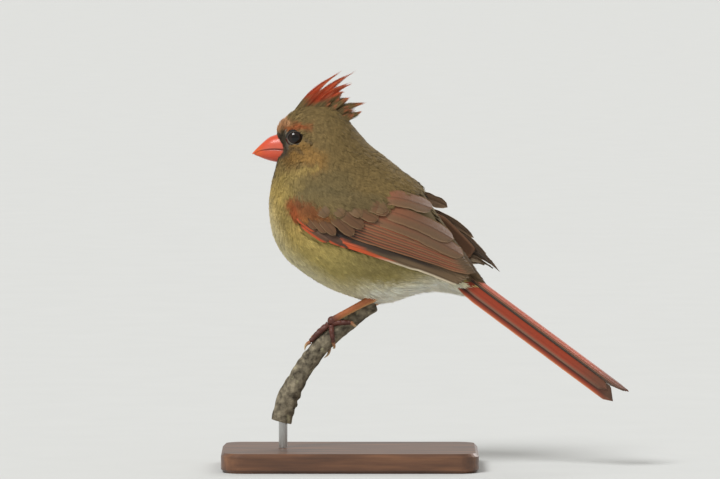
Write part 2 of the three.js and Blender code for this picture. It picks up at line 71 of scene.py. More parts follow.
FACE_NARROW = 0.64  # share of its width that the face loses at the bill's base
FACE_NARROW_REACH = 5.6

# The folded wing, as lines across it from the wrist to past the tips: lower edge x z, upper
# edge x z, and the least distance of each edge from the mid-plane.
WING = np.array([
    [-28.6, 119.5, -29.0, 127.5, 8.0, 8.0],
    [-23.5, 110.5, -20.0, 132.5, 8.0, 8.0],
    [-13.0, 105.0, -5.0, 135.0, 8.0, 8.0],
    [0.0, 101.2, 10.6, 133.2, 8.0, 8.0],
    [11.5, 98.9, 21.6, 129.7, 10.0, 7.5],
    [21.2, 96.8, 30.4, 124.8, 15.0, 7.0],
    [29.0, 94.1, 36.8, 117.2, 20.0, 7.0],
    [37.3, 90.4, 43.2, 109.0, 16.0, 6.5],
    [44.0, 87.5, 48.6, 101.2, 12.0, 6.0],
    [50.5, 84.8, 54.3, 92.5, 9.5, 6.0],
    [57.5, 79.0, 61.0, 84.5, 8.5, 6.0],
])
WING_SHEET_END = 8.0  # the station where the wing's closed sheet ends and bare feathers go on
WING_BULGE = 1.6
WING_LEAST_DEPTH = 4.5
WRIST_X, WING_RUN = -28.0, 84.0  # where the folded wing begins, and its length along X
RIGHT_WING_BACK = (3.0, 7.0)  # how far further back: at the wrist, and added at the tip
RIGHT_WING_RISE = 7.0

TAIL_ROOT = np.array([59.2, 0.0, 86.6])
TAIL_SLOPE = math.radians(36.6)
TAIL_ARCH = math.radians(75)
TAIL_HALF_WIDTH = 10.0
TAIL_ROOT_WIDTH = 0.72
TAIL_DEPTH = 9.8
TAIL_LENGTH = 86.0
TAIL_COVERED = 8.0  # how far the feathers run on under the coverts

# The crest's locks, tallest first: root x z, middle x z and tip x z
CREST = np.array([
    [-28.6, 158.0, -18.6, 172.4, -4.1, 182.6],
    [-23.9, 162.0, -12.0, 174.6, 3.0, 182.4],
    [-20.2, 163.5, -8.7, 173.2, 1.2, 177.1],
    [-16.0, 164.0, -8.3, 170.7, -2.8, 173.4],
    [-12.9, 163.5, -5.5, 169.0, -0.2, 170.6],
    [-9.2, 162.0, -1.8, 166.8, 7.4, 167.7],
    [-7.0, 159.5, 0.0, 163.2, 5.5, 164.0],
])
CREST_LOCK_FEATHERS = 9  # in each lock; the others stand between the locks
CREST_FEATHERS = 135
CREST_STRANDS = 26  # in each feather
STRAND_RINGS = 7

# Halves of the bill, from its base to the tip: upper x z, lower x z and half width
BILL_UPPER = np.array([
    [-32.6, 153.8, -29.9, 146.4, 5.9],
    [-36.8, 152.3, -34.5, 146.8, 5.1],
    [-40.0, 149.8, -38.4, 146.6, 3.8],
    [-42.8, 147.1, -41.9, 145.9, 2.0],
    [-45.0, 144.7, -44.6, 144.3, 0.35],
])
BILL_LOWER = np.array([
    [-29.9, 146.5, -31.7, 140.6, 5.7],
    [-34.5, 146.85, -35.4, 141.1, 4.9],
    [-38.4, 146.65, -38.9, 142.1, 3.6],
    [-41.7, 146.0, -41.9, 143.3, 2.0],
    [-44.2, 144.75, -43.8, 144.0, 0.4],
])
EYE_CENTRE = np.array([-25.1, 8.9, 152.3])
EYE_RADIUS = 4.4
EYE_OPENING = (3.4, 2.95)  # half length and half height of the opening between the lids
SOCKET_REACH = 6.5  # how far round the eye's centre the skin falls in and feathers are short
HEAD_FLOOR = 140.0  # no part of an eye lies lower

# The branch, from its cut lower end to the broken end: x, z and radius
PERCH = np.array([
    [-31.7, 21.2, 4.6],
    [-29.0, 31.3, 4.7],
    [-24.4, 40.5, 4.3],
    [-18.9, 48.8, 4.0],
    [-12.9, 56.6, 4.2],
    [-6.9, 62.1, 4.1],
    [0.0, 67.6, 3.9],
    [5.5, 72.2, 4.0],
    [11.6, 75.4, 3.3],
])
PERCH_END = len(PERCH) - 1.0

# Legs from the thigh to the foot: x, distance from the mid-plane, z and radius
LEGS = {
    -1: np.array([
        [15.5, 10.0, 83.5, 2.6],
        [10.4, 9.0, 78.9, 2.3],
        [6.8, 8.2, 76.6, 1.7],
        [-1.5, 6.0, 72.0, 1.5],
        [-8.4, 4.0, 68.0, 1.6],
    ]),
    1: np.array([
        [21.0, 10.0, 84.0, 2.6],
        [16.4, 9.4, 78.9, 2.3],
        [12.6, 8.8, 76.2, 1.7],
        [4.0, 7.2, 71.4, 1.5],
        [-3.6, 6.0, 67.2, 1.6],
    ]),
}
# Toes along the perch: station and angle round it at the root, the end and the claw's tip,
# and the radius at the root.
TOES = {
    -1: [
        ((5.05, 32), (3.75, 22), (3.3, 2), 1.45),
        ((5.1, 50), (4.6, 118), (4.3, 168), 1.3),
        ((5.05, 20), (4.1, 0), (3.75, -14), 1.2),
        ((5.25, 42), (6.0, 96), (6.1, 142), 1.4),
    ],
    1: [
        ((5.55, 40), (4.2, 66), (3.75, 92), 1.45),
        ((5.6, 58), (4.2, 128), (3.55, 172), 1.3),
        ((5.6, 30), (4.9, 24), (4.6, 16), 1.2),
        ((5.75, 48), (6.4, 100), (6.5, 146), 1.4),
    ],
}
FOOT_GAP = 0.3


# Colours, given as sRGB and used as linear light

def rgb(red, green, blue):
    value = np.array([red, green, blue]) / 255.0
    return np.where(value <= 0.04045, value / 12.92, ((value + 0.055) / 1.055) ** 2.4)


OLIVE_BACK = rgb(114, 98, 64)
OLIVE_HEAD = rgb(122, 102, 62)
GREY_OLIVE = rgb(104, 92, 60)
BREAST = rgb(188, 162, 92)
BELLY = rgb(196, 178, 108)
PALE_BELLY = rgb(236, 228, 188)
VENT = rgb(255, 250, 226)
CHEEK = rgb(156, 114, 54)
DARK_MASK = rgb(80, 70, 54)
GREY_LORE = rgb(126, 118, 104)
BUFF_FOREHEAD = rgb(200, 146, 104)
RUST = rgb(156, 78, 38)
CREST_RED = rgb(186, 66, 24)
CREST_TIP = rgb(226, 150, 112)
COVERT_BROWN = rgb(106, 74, 48)
COVERT_FRINGE = rgb(140, 112, 76)
WING_DARK = rgb(44, 31, 22)
WING_RED = rgb(150, 86, 56)
WING_ORANGE = rgb(206, 88, 44)
WING_BUFF = rgb(144, 112, 76)
TERTIAL = rgb(118, 84, 60)
PRIMARY_BROWN = rgb(110, 88, 62)
PRIMARY_EDGE = rgb(214, 200, 172)
UNDERSIDE = rgb(132, 112, 90)
TAIL_RED = rgb(150, 56, 28)
TAIL_PINK = rgb(190, 100, 76)
TAIL_BROWN = rgb(92, 66, 48)
# Painted rim light along the tail feathers' outer edges
TAIL_RIM_LIGHT = rgb(232, 150, 104)
LEG_ORANGE = rgb(168, 98, 56)
LEG_PALE = rgb(212, 160, 104)
TOE_DARK = rgb(92, 50, 40)


# Helpers on arrays of numbers

def side_view(*pixels):
    """Places measured on the photo, turned into millimetres of the side view."""
    middle, floor, pixel_mm = 350.0, 468.0, 0.46
    return [((px - middle) * pixel_mm, (floor - py) * pixel_mm) for px, py in pixels]


def row_at(table, s):
    """Smooth rows between the rows of a table, at stations s, running on straight past it."""
    s = np.atleast_1d(np.asarray(s, dtype=float))
    last = len(table) - 1
    held = np.clip(s, 0.0, last)
    i = np.minimum(held.astype(int), last - 1)
    f = (held - i)[:, None]
    a, b = table[i], table[i + 1]
    slope_a = (b - table[np.maximum(i - 1, 0)]) / 2
    slope_b = (table[np.minimum(i + 2, last)] - a) / 2
    row = (a * (2 * f**3 - 3 * f**2 + 1) + slope_a * (f**3 - 2 * f**2 + f)
           + b * (3 * f**2 - 2 * f**3) + slope_b * (f**3 - f**2))
    return row + (s - held)[:, None] * (table[last] - table[last - 1])


def unit(vectors):
    length = np.linalg.norm(vectors, axis=-1, keepdims=True)
    return vectors / np.maximum(length, 1e-9)


def smooth_step(low, high, value):
    t = np.clip((value - low) / (high - low), 0.0, 1.0)
    return t * t * (3 - 2 * t)


def mix(a, b, amount):
    return a + (b - a) * np.asarray(amount)[..., None]


def paint_over(base, count, *layers):
    """A base colour at count points, with layers of (colour, amounts) laid over it in turn."""
    colour = np.tile(base, (count, 1))
    for tint, amount in layers:
        colour = mix(colour, tint, amount)
    return colour


def pull(points, start, end):
    """How far along the line from start to end each point lies, and its distance from it."""
    start, end = np.array(start), np.array(end)
    line = end - start
    t = np.clip(((points - start) @ line) / (line @ line), 0.0, 1.0)
    return t, np.linalg.norm(points - (start + t[:, None] * line), axis=1)


def bent_line(root, bend, tip, t):
    """Points at t of a line that leaves its root towards the bend and then turns to its tip."""
    return root * (1 - t) ** 2 + 2 * bend * t * (1 - t) + tip * t**2


def between(a, b, t):
    return tuple(a[k] + (b[k] - a[k]) * t for k in range(2))


def inside(outline, x, z):
    """Which points lie inside a closed outline in the side view."""
    within = np.zeros(len(x), dtype=bool)
    for (ax, az), (bx, bz) in zip(outline, outline[1:] + outline[:1]):
        crosses = (az > z) != (bz > z)
        within ^= crosses & (x < ax + (bx - ax) * (z - az) / (bz - az + 1e-12))
    return within


def outline_distance(outline, x, z):
    flat = np.stack([x, z], axis=1)
    edges = zip(outline, outline[1:] + outline[:1])
    return np.min([pull(flat, a, b)[1] for a, b in edges], axis=0)


def wobble(points, size, reach, seed):
    """Smooth uneven offsets, size millimetres, that change over about reach millimetres."""
    waves = np.random.default_rng(seed)
    offset = np.zeros_like(points)
    for _ in range(7):
        direction = unit(waves.normal(size=3)) * FULL_TURN / (reach * waves.uniform(0.7, 1.8))
        phase = waves.uniform(0, FULL_TURN)
        offset += np.sin(points @ direction + phase)[:, None] * waves.normal(size=3)
    return offset * size / 2.6


# The body's surface

def bulge(t, half, widest):
    """Half width at height t of a section that reaches its full half width at widest."""
    bent = t ** (np.log(0.5) / np.log(widest))
    return 2 * half * np.sqrt(np.maximum(bent * (1 - bent), 0))


def body_point(s, theta):
    """Point at station s and angle theta round the body, 0 below, pi above, left side first."""
    low_x, low_z, high_x, high_z, half, widest = row_at(BODY, s).T
    t = (1 - np.cos(theta)) / 2
    x = low_x + (high_x - low_x) * t
    z = low_z + (high_z - low_z) * t
    # The face draws in sideways round the bill's base
    gap = ((x - BILL_BASE[0]) ** 2 + (z - BILL_BASE[1]) ** 2) / FACE_NARROW_REACH**2
    narrow = 1 - FACE_NARROW * np.exp(-gap)
    y = -np.sign(np.sin(theta)) * bulge(t, np.maximum(half, 1.0), widest) * narrow
    return np.stack([x, y, z], axis=1)


def body_frame(s, theta):
    """Point, outward normal, and the ways along and round the body in millimetres a unit."""
    step = 0.03
    along = (body_point(s + step, theta) - body_point(s - step, theta)) / (2 * step)
    round_it = (body_point(s, theta + step) - body_point(s, theta - step)) / (2 * step)
    return body_point(s, theta), unit(np.cross(along, round_it)), along, round_it


def line_station(table, x, z):
    """Station of the table's line that passes each point (x, z), and the height along it."""
    low = np.zeros(len(x))
    high = np.full(len(x), len(table) - 1.0)
    for _ in range(26):
        middle = (low + high) / 2
        row = row_at(table, middle)
        ahead = ((row[:, 2] - row[:, 0]) * (z - row[:, 1])
                 - (row[:, 3] - row[:, 1]) * (x - row[:, 0])) < 0
        low = np.where(ahead, middle, low)
        high = np.where(ahead, high, middle)
    row = row_at(table, low)
    span = row[:, 2:4] - row[:, 0:2]
    t = ((x - row[:, 0]) * span[:, 0] + (z - row[:, 1]) * span[:, 1]) / (span**2).sum(axis=1)
    return low, t


def body_depth(x, z):
    """Half width of the body at each (x, z), or 0 outside its outline."""
    s, t = line_station(BODY, x, z)
    row = row_at(BODY, s)
    depth = bulge(np.clip(t, 1e-6, 1 - 1e-6), row[:, 4], row[:, 5])
    return np.where((t > 0) & (t < 1) & (s > 0.001) & (s < BODY_END - 0.001), depth, 0.0)


# The folded wing's surface

def wing_place(x, z, side):
    """Points on a wing at side-view places given for the left wing."""
    u, v = line_station(WING, x, z)
    q = u / WING_SHEET_END
    row = row_at(WING, u)
    held = np.clip(v, 0, 1)
    least = row[:, 4] + (row[:, 5] - row[:, 4]) * v + WING_BULGE * q * 4 * held * (1 - held)
    least = np.maximum(least, WING_LEAST_DEPTH)
    if side > 0:
        x = x + RIGHT_WING_BACK[0] + RIGHT_WING_BACK[1] * q
        z = z + RIGHT_WING_RISE * q * q * (1 - held)
    # Where the body is wider than that, the wing lies on it, with a soft change over
    depth = body_depth(x, z)
    soft = 1.2
    depth = (depth + least + np.sqrt((depth - least) ** 2 + soft**2)) / 2
    return np.stack([x, side * depth, z], axis=1)


def wing_frame(x, z, side, lift):
    """Points lifted off a wing by lift, and the outward normals there."""
    step = 0.4
    in_x = wing_place(x + step, z, side) - wing_place(x - step, z, side)
    in_z = wing_place(x, z + step, side) - wing_place(x, z - step, side)
    normal = unit(np.cross(in_x, in_z))
    normal *= np.sign(normal[:, 1:2] * side)
    return wing_place(x, z, side) + normal * lift[:, None], normal


def on_left_wing(x, z, side):
    """Side-view places brought to where they would be on the left wing."""
    if side < 0:
        return x, z
    q = np.clip((x - WRIST_X) / WING_RUN, 0, 1)
    return x - RIGHT_WING_BACK[0] - RIGHT_WING_BACK[1] * q, z - 0.5 * RIGHT_WING_RISE * q * q


# The folded tail's surface

def tail_place(out, along, lift, side):
    """Points on the tail: out 0 at the ridge to 1 at the edge, and millimetres along it."""
    ahead = np.array([math.cos(TAIL_SLOPE), 0, -math.sin(TAIL_SLOPE)])
    up = np.array([math.sin(TAIL_SLOPE), 0, math.cos(TAIL_SLOPE)])
    turn = out * TAIL_ARCH
    q = np.clip(along / TAIL_LENGTH, -0.1, 1.1)
    width = TAIL_HALF_WIDTH * (TAIL_ROOT_WIDTH + (1 - TAIL_ROOT_WIDTH) * q)
    down = TAIL_DEPTH * (1 - np.cos(turn)) / (1 - math.cos(TAIL_ARCH))
    point = TAIL_ROOT + along[:, None] * ahead + (lift * np.cos(turn) - down)[:, None] * up
    point[:, 1] = side * (width * np.sin(turn) / math.sin(TAIL_ARCH) + lift * np.sin(turn))
    return point


# Markings, shared by skin and coat

# Marks round lines in the side view, in the order in which they are laid on: the line's ends,
# how far off a mark begins and is full, its colour and strength, and what limits it
MARKS = {
    "cheek": ((-26.0, 146.0), (-18.0, 144.0), 9.0, 3.0, CHEEK, 0.6, "head"),
    # A painted shade line in the crease between cheek and throat.
    "painted crease shade": ((-24.0, 140.5), (-16.0, 142.5), 2.2, 0.6, GREY_OLIVE, 0.5, "nothing"),
    "throat band": ((-31.0, 136.0), (-17.0, 141.0), 2.4, 0.8, BREAST, 0.5, "nothing"),
    "brow": ((-29.5, 156.6), (-18.5, 158.0), 3.2, 0.2, RUST, 0.8, "ahead"),
    "forehead": ((-33.6, 155.5), (-31.0, 160.0), 2.8, 0.8, BUFF_FOREHEAD, 0.75, "nothing"),
    "mask": ((-31.2, 152.5), (-31.3, 144.5), 2.7, 1.2, DARK_MASK, 1.0, "nothing"),
    "chin": ((-33.6, 141.5), (-35.2, 138.4), 3.4, 1.4, DARK_MASK * 0.8, 0.9, "middle"),
    "lore": ((-30.2, 155.0), (-29.2, 148.5), 1.3, 0.4, GREY_LORE, 0.8, "nothing"),
    "under eye": ((-29.0, 147.8), (-24.5, 147.6), 1.9, 0.6, DARK_MASK, 0.5, "nothing"),
    "behind eye": ((-21.2, 151.6), (-19.6, 151.2), 1.3, 0.5, DARK_MASK, 0.55, "nothing"),
    "shoulder": ((-19.0, 127.0), (8.0, 121.0), 9.0, 5.0, OLIVE_BACK * 0.95, 0.9, "side"),
    "breast side": ((-30.0, 128.0), (-31.0, 118.0), 4.0, 1.5, GREY_OLIVE, 0.4, "side"),
    "lesser coverts": ((-26.0, 124.5), (-15.0, 118.5), 5.0, 2.0, RUST * 0.62, 0.75, "side"),
    "wrist": ((-28.5, 127.0), (-23.0, 116.0), 3.4, 1.2, RUST * 0.85, 0.9, "side"),
    "grey mantle": ((-24.0, 133.0), (-6.0, 134.0), 9.0, 3.0, GREY_OLIVE, 0.5, "side"),
}


def up_the_neck(x, z):
    """Height measured along the neck, square to the border between body and head."""
    return z + 0.35 * (x + 20)


def fluff(points):
    """1 where the long loose feathers of the thighs and the vent hang, else 0."""
    x, _, z = points.T
    return smooth_step(-8, 6, x) * smooth_step(44, 30, x) * smooth_step(90, 82, z)


def plumage(points, theta):
    """Linear colours of the coat at body points, from borders in millimetres along X and Z."""
    x, y, z = points.T
    height = (1 - np.cos(theta)) / 2  # 0 along the belly's middle line, 1 along the back's
    back = smooth_step(0.45, 0.62, height)
    front = 1 - back
    head = smooth_step(124, 140, up_the_neck(x, z))
    flank = smooth_step(-16, 6, x) * smooth_step(82, 94, z) * smooth_step(52, 30, x)
    low = smooth_step(92, 80, z + 0.25 * (x - 5)) * smooth_step(-14, 6, x)
    # A pale strip along the belly's middle line: partly the belly's own paler feathers, partly
    # painted rim light where that line makes the outline.
    rim = smooth_step(0.14, 0.0, height) * smooth_step(134, 112, z)
    vent = np.maximum(smooth_step(14, 34, x), fluff(points)) * smooth_step(0.42, 0.16, height)
    colour = paint_over(
        BREAST, len(points),
        (OLIVE_BACK, back),
        (BELLY, smooth_step(118, 92, z) * front),
        (GREY_OLIVE, 0.55 * flank * front),
        (PALE_BELLY, low * front),
        (PALE_BELLY, (0.5 + 0.4 * smooth_step(110, 90, z)) * rim),
        (VENT, vent),
        (OLIVE_BACK * 0.8, 0.6 * smooth_step(-4, 10, x) * back),
        (TAIL_BROWN, 0.6 * smooth_step(40, 52, x) * back),
        (OLIVE_HEAD, head),
    )
    depth = np.abs(y)
    limits = {
        "nothing": 1.0,
        "head": head,
        "ahead": smooth_step(-17.5, -23.0, x),
        "middle": smooth_step(6.5, 4.0, depth),
        "side": depth > 5,
    }
    for start, end, begins, full, tint, strength, limit in MARKS.values():
        _, away = pull(points[:, [0, 2]], start, end)
        colour = mix(colour, tint, strength * smooth_step(begins, full, away) * limits[limit])
    return colour


# Meshes

def make_mesh(name, points, face_sets, colour=None, normals=None, bake=None, vane=None):
    """A smooth mesh object from points in millimetres and arrays of faces."""
    mesh = bpy.data.meshes.new(name)
    mesh.vertices.add(len(points))
    mesh.vertices.foreach_set("co", (points * MM).astype(np.float32).ravel())
    loops = np.concatenate([faces.ravel() for faces in face_sets]).astype(np.int32)
    sizes = np.concatenate([np.full(len(faces), faces.shape[1]) for faces in face_sets])
    starts = np.concatenate([[0], np.cumsum(sizes)[:-1]]).astype(np.int32)
    mesh.loops.add(len(loops))
    mesh.loops.foreach_set("vertex_index", loops)
    mesh.polygons.add(len(sizes))
    mesh.polygons.foreach_set("loop_start", starts)
    mesh.polygons.foreach_set("use_smooth", np.ones(len(sizes), dtype=bool))
    mesh.update(calc_edges=True)
    for layer_name, places in (("OFBake", bake), ("Vane", vane)):
        if places is not None:
            layer = mesh.uv_layers.new(name=layer_name)
            layer.uv.foreach_set("vector", places[loops].astype(np.float32).ravel())
    if colour is not None:
        layer = mesh.attributes.new("Plumage", "FLOAT_COLOR", "POINT")
        rgba = np.concatenate([np.clip(colour, 0, 1), np.ones((len(colour), 1))], axis=1)
        layer.data.foreach_set("color", rgba.astype(np.float32).ravel())
    if normals is not None:
        mesh.normals_split_custom_set_from_vertices(unit(normals).tolist())
    piece = bpy.data.objects.new(name, mesh)
    bpy.context.scene.collection.objects.link(piece)
    return piece


def finish_piece(piece, material, slot, *nodes):
    piece.data.materials.append(material)
    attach(piece, "root")
    if nodes:
        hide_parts(*nodes)


def grid_faces(rows, columns, wrap=False):
    """Quads of a grid of points laid out row by row."""
    i, j = np.indices((rows - 1, columns - (0 if wrap else 1))).reshape(2, -1)
    after = (j + 1) % columns
    return np.stack([i * columns + j, i * columns + after,
                     (i + 1) * columns + after, (i + 1) * columns + j], axis=1)


def cap_faces(first, count, centre):
    """Triangles from a ring of count points, the first of which is given, to a centre."""
    j = np.arange(count)
    return np.stack([first + j, first + (j + 1) % count, np.full(count, centre)], axis=1)


def outward(points, face_sets):
    """Turns every face round if the closed mesh is inside out."""
    volume = 0.0
    for faces in face_sets:
        for k in range(1, faces.shape[1] - 1):
            a, b, c = points[faces[:, 0]], points[faces[:, k]], points[faces[:, k + 1]]
            volume += (a * np.cross(b, c)).sum()
    return face_sets if volume > 0 else [faces[:, ::-1] for faces in face_sets]


def closed_rings(rings):
    """Points and faces of a closed solid through rings, an array (rings, sides, 3)."""
    count, sides = rings.shape[:2]
    total = count * sides
    points = np.concatenate([rings.reshape(-1, 3), rings[[0, -1]].mean(axis=1)])
    face_sets = [
        grid_faces(count, sides, wrap=True),
        cap_faces(0, sides, total)[:, [1, 0, 2]],
        cap_faces(total - sides, sides, total + 1),
    ]
    return points, outward(points, face_sets)


def on_rings(values, sides):
    """A value for each ring, spread over the points of closed_rings, the caps' two as well."""
    return np.concatenate([np.repeat(values, sides), values[[0, -1]]])


def on_sides(values, count, at_caps):
    """A value for each side of every ring, spread over the points of closed_rings."""
    return np.concatenate([np.tile(values, count), [at_caps, at_caps]])


def join_solids(solids):
    """One list of points and faces from several (points, face sets)."""
    points, face_sets, first = [], [], 0
    for more, faces in solids:
        points.append(more)
        face_sets.extend(part + first for part in faces)
        first += len(more)
    return np.concatenate(points), face_sets


def ring_angles(sides):
    return np.linspace(0, FULL_TURN, sides, endpoint=False)


def tube_rings(centres, radii, sides, flatten=1.0):
    """Rings round a path, kept upright by the sideways direction."""
    ahead = np.gradient(centres, axis=0)
    across = unit(np.cross(np.array([0.0, 1.0, 0.0]), ahead))
    up = unit(np.cross(ahead, across)) * flatten
    turn = ring_angles(sides)[None, :, None]
    return (centres[:, None]
            + radii[:, None, None] * (across[:, None] * np.cos(turn) + up[:, None] * np.sin(turn)))


# Materials

class Shader:
    """A new Principled material with helpers that add and join its nodes."""

    def __init__(self, name, roughness, **sockets):
        self.material = bpy.data.materials.new(name)
        self.material.use_nodes = True
        self.tree = self.material.node_tree
        self.surface(Roughness=roughness, **sockets)

    def join(self, socket, value):
        """Sets a socket to a value, or links another node's output to it."""
        if isinstance(value, bpy.types.NodeSocket):
            self.tree.links.new(value, socket)
        else:
            socket.default_value = value

    def feed(self, node, **values):
        """Gives a node's inputs, or else its settings, their values by name."""
        for key, value in values.items():
            socket = node.inputs.get(key.replace("_", " "))
            if socket is None:
                setattr(node, key, value)
            else:
                self.join(socket, value)
        return node

    def surface(self, **sockets):
        self.feed(self.tree.nodes["Principled BSDF"], **sockets)

    def node(self, kind, **values):
        return self.feed(self.tree.nodes.new(f"ShaderNode{kind}"), **values)

    def coordinates(self, scale=(1, 1, 1)):
        place = self.node("TexCoord").outputs["Object"]
        return self.node("Mapping", Vector=place, Scale=scale).outputs["Vector"]

    def noise(self, vector, scale, detail=4.0):
        return self.node("TexNoise", Vector=vector, Scale=scale, Detail=detail).outputs["Fac"]

    def span(self, value, low, high):
        return self.node("MapRange", Value=value, To_Min=low, To_Max=high).outputs["Result"]

    def math(self, operation, *values):
        node = self.node("Math", operation=operation)
        for socket, value in zip(node.inputs, values):
            self.join(socket, value)
        return node.outputs["Value"]

    def ramp(self, factor, *stops):
        """Colours that follow a factor, from stops of (place, colour)."""
        node = self.node("ValToRGB", Fac=factor)
        elements = node.color_ramp.elements
        while len(elements) < len(stops):
            elements.new(0.5)
        for element, (place, colour) in zip(elements, stops):
            element.position = place
            element.color = (*colour, 1.0)
        return node.outputs["Color"]

    def shade(self, colour, factor):
        """A colour made lighter or darker by a number around 1."""
        node = self.node("VectorMath", operation="SCALE", Vector=colour, Scale=factor)
        return node.outputs["Vector"]

    def tint(self, factor):
        """The colours painted on the mesh, made lighter or darker by a number around 1."""
        painted = self.node("Attribute", attribute_name="Plumage").outputs["Color"]
        self.surface(Base_Color=self.shade(painted, factor))

    def bump(self, height, distance, strength):
        node = self.node("Bump", Height=height, Distance=distance, Strength=strength)
        self.surface(Normal=node.outputs["Normal"])


def painted_shader(name, roughness, grain, spread, stretch=(1, 1, 1), **sockets):
    """A shader of the mesh's painted colours, uneven by a grain, and its coordinates."""
    shader = Shader(name, roughness, **sockets)
    place = shader.coordinates(stretch)
    shader.tint(shader.span(shader.noise(place, grain), *spread))
    return shader, place


def plumage_material(name, roughness=0.75, streak=0.16):
    """Soft feather: the markings' colour, mottled, with fine streaks."""
    shader = Shader(name, roughness, Sheen_Weight=0.06, Sheen_Roughness=0.5,
                    Specular_IOR_Level=0.25)
    place = shader.coordinates()
    mottle = shader.span(shader.noise(place, 260.0), 0.9, 1.1)
    fine = shader.span(shader.noise(place, 1500.0, 2.0), 1.0 - streak, 1.0 + streak)
    shader.tint(shader.math("MULTIPLY", mottle, fine))
    return shader.material


def vane_material(name):
    """Flight feather: the vane's colour with fine barbs running out from the shaft."""
    slant, fineness = 1.1, 15.0
    shader = Shader(name, 0.55, Sheen_Weight=0.08, Specular_IOR_Level=0.35)
    on_vane = shader.node("UVMap", uv_map="Vane").outputs["UV"]
    parts = shader.node("SeparateXYZ", Vector=on_vane).outputs
    back = shader.math("MULTIPLY", shader.math("ABSOLUTE", parts["X"]), slant)
    barb = shader.math("SUBTRACT", parts["Y"], back)
    wave = shader.math("SINE", shader.math("MULTIPLY", barb, fineness))
    grain = shader.noise(shader.coordinates(), 900.0)
    shader.tint(shader.math("ADD", shader.span(wave, 0.97, 1.03),
                            shader.span(grain, -0.12, 0.12)))
    shader.bump(wave, 0.00005, 0.5)
    return shader.material


# Skin under the coat

def coat_style(points):
    """Length, width and depth of the barbs at body points, in millimetres."""
    x, _, z = points.T
    eye = np.hypot(x - EYE_CENTRE[0], z - EYE_CENTRE[2])
    face = smooth_step(-18, -30, x) * smooth_step(136, 142, z)
    head = smooth_step(124, 142, up_the_neck(x, z))
    belly = smooth_step(98, 82, z)
    length = 6.2 - 2.2 * head - 2.0 * face + 2.6 * belly
    length = np.where(eye < SOCKET_REACH, np.minimum(length, 1.0 + 0.25 * eye), length)
    length += 2.4 * fluff(points)
    width = 0.58 - 0.17 * head - 0.12 * face + 0.1 * belly
    depth = 1.9 - 0.7 * head - 0.55 * face + 0.6 * belly
    return length, width, depth


def build_skin():
    """One skin for head, neck, trunk and undertail, sunk below the coat's outline."""
    stations, sides = 150, 96
    grid = np.meshgrid(np.linspace(0, BODY_END, stations), ring_angles(sides), indexing="ij")
    s, theta = (part.ravel() for part in grid)
    points, normal, _, _ = body_frame(s, theta)
    _, _, depth = coat_style(points)
    sunk = points - normal * (depth * 0.85)[:, None]
    # The socket: the skin falls in round each eye
    socket_depth = 3.0
    for side in SIDES:
        centre = EYE_CENTRE * [1, side, 1]
        near = np.linalg.norm(sunk - centre, axis=1) < SOCKET_REACH
        aim = np.hypot(sunk[:, 0] - centre[0], sunk[:, 2] - centre[2])
        sunk[near, 1] -= side * socket_depth * smooth_step(EYE_RADIUS, 2.2, aim)[near]
    closed, faces = closed_rings(sunk.reshape(stations, sides, 3))
    painted = np.concatenate([points, closed[-2:]])
    darker = 0.86
    colour = plumage(painted, np.concatenate([theta, [np.pi / 2] * 2])) * darker
    piece = make_mesh("skin", closed, faces, colour)
    finish_piece(piece, plumage_material("skin_down", 0.85, 0.1), "plumage_body",
                 "head", "neck", "trunk", "undertail_and_rump")


# Coat: tufts of thin closed barbs that lie along the body

BARBS = 6  # in each feather of the coat
FAN_SPREAD = 0.24  # half width of a feather's fan of barbs, as a share of its length
FAN_ROUND = 0.32  # how much shorter the outer barbs are
FAN_DROOP = 0.25  # how far the outer barbs hang, as a share of the half width
LID_CLEARANCE = ((3.6, 3.0), (3.5, 2.9))  # half axes kept free of roots, and of barbs
SPIKE_SIDE = np.array([-1.0, 1.0, 0.0])
SPIKE_RISE = np.array([0.0, 0.0, 1.0])
SPIKE_FACES = np.array([
    [0, 2, 1],
    [0, 1, 3], [1, 4, 3], [1, 2, 4], [2, 5, 4], [2, 0, 5], [0, 3, 5],
    [3, 4, 6], [4, 5, 6], [5, 3, 6],
])
BARB_PATCH = 0.003  # how much of the bake map's side one barb or strand takes
SHOULDER_RISE = 2.3  # how far the coat stands over the folded wing

# Outline of the wing feathers that no body feather covers
BARE_WING = side_view(
    (292, 212), (304, 209), (324, 210), (340, 202), (361, 204), (382, 204), (390, 196),
    (404, 191), (419, 190), (434, 203), (452, 220), (472, 242), (494, 268), (480, 277),
    (465, 287), (430, 272), (395, 258), (360, 251), (330, 242.5), (308, 237), (299, 230),
)

# Zones of the coat: stations along the body and feathers to the square millimetre
COAT_ZONES = {
    "head": (0.02, 3.2, 2.9),
    "neck": (3.2, 5.6, 1.75),
    "breast": (5.6, 8.4, 1.2),
    "body": (8.4, 11.0, 1.15),
    "rump": (11.0, BODY_END, 1.4),
}


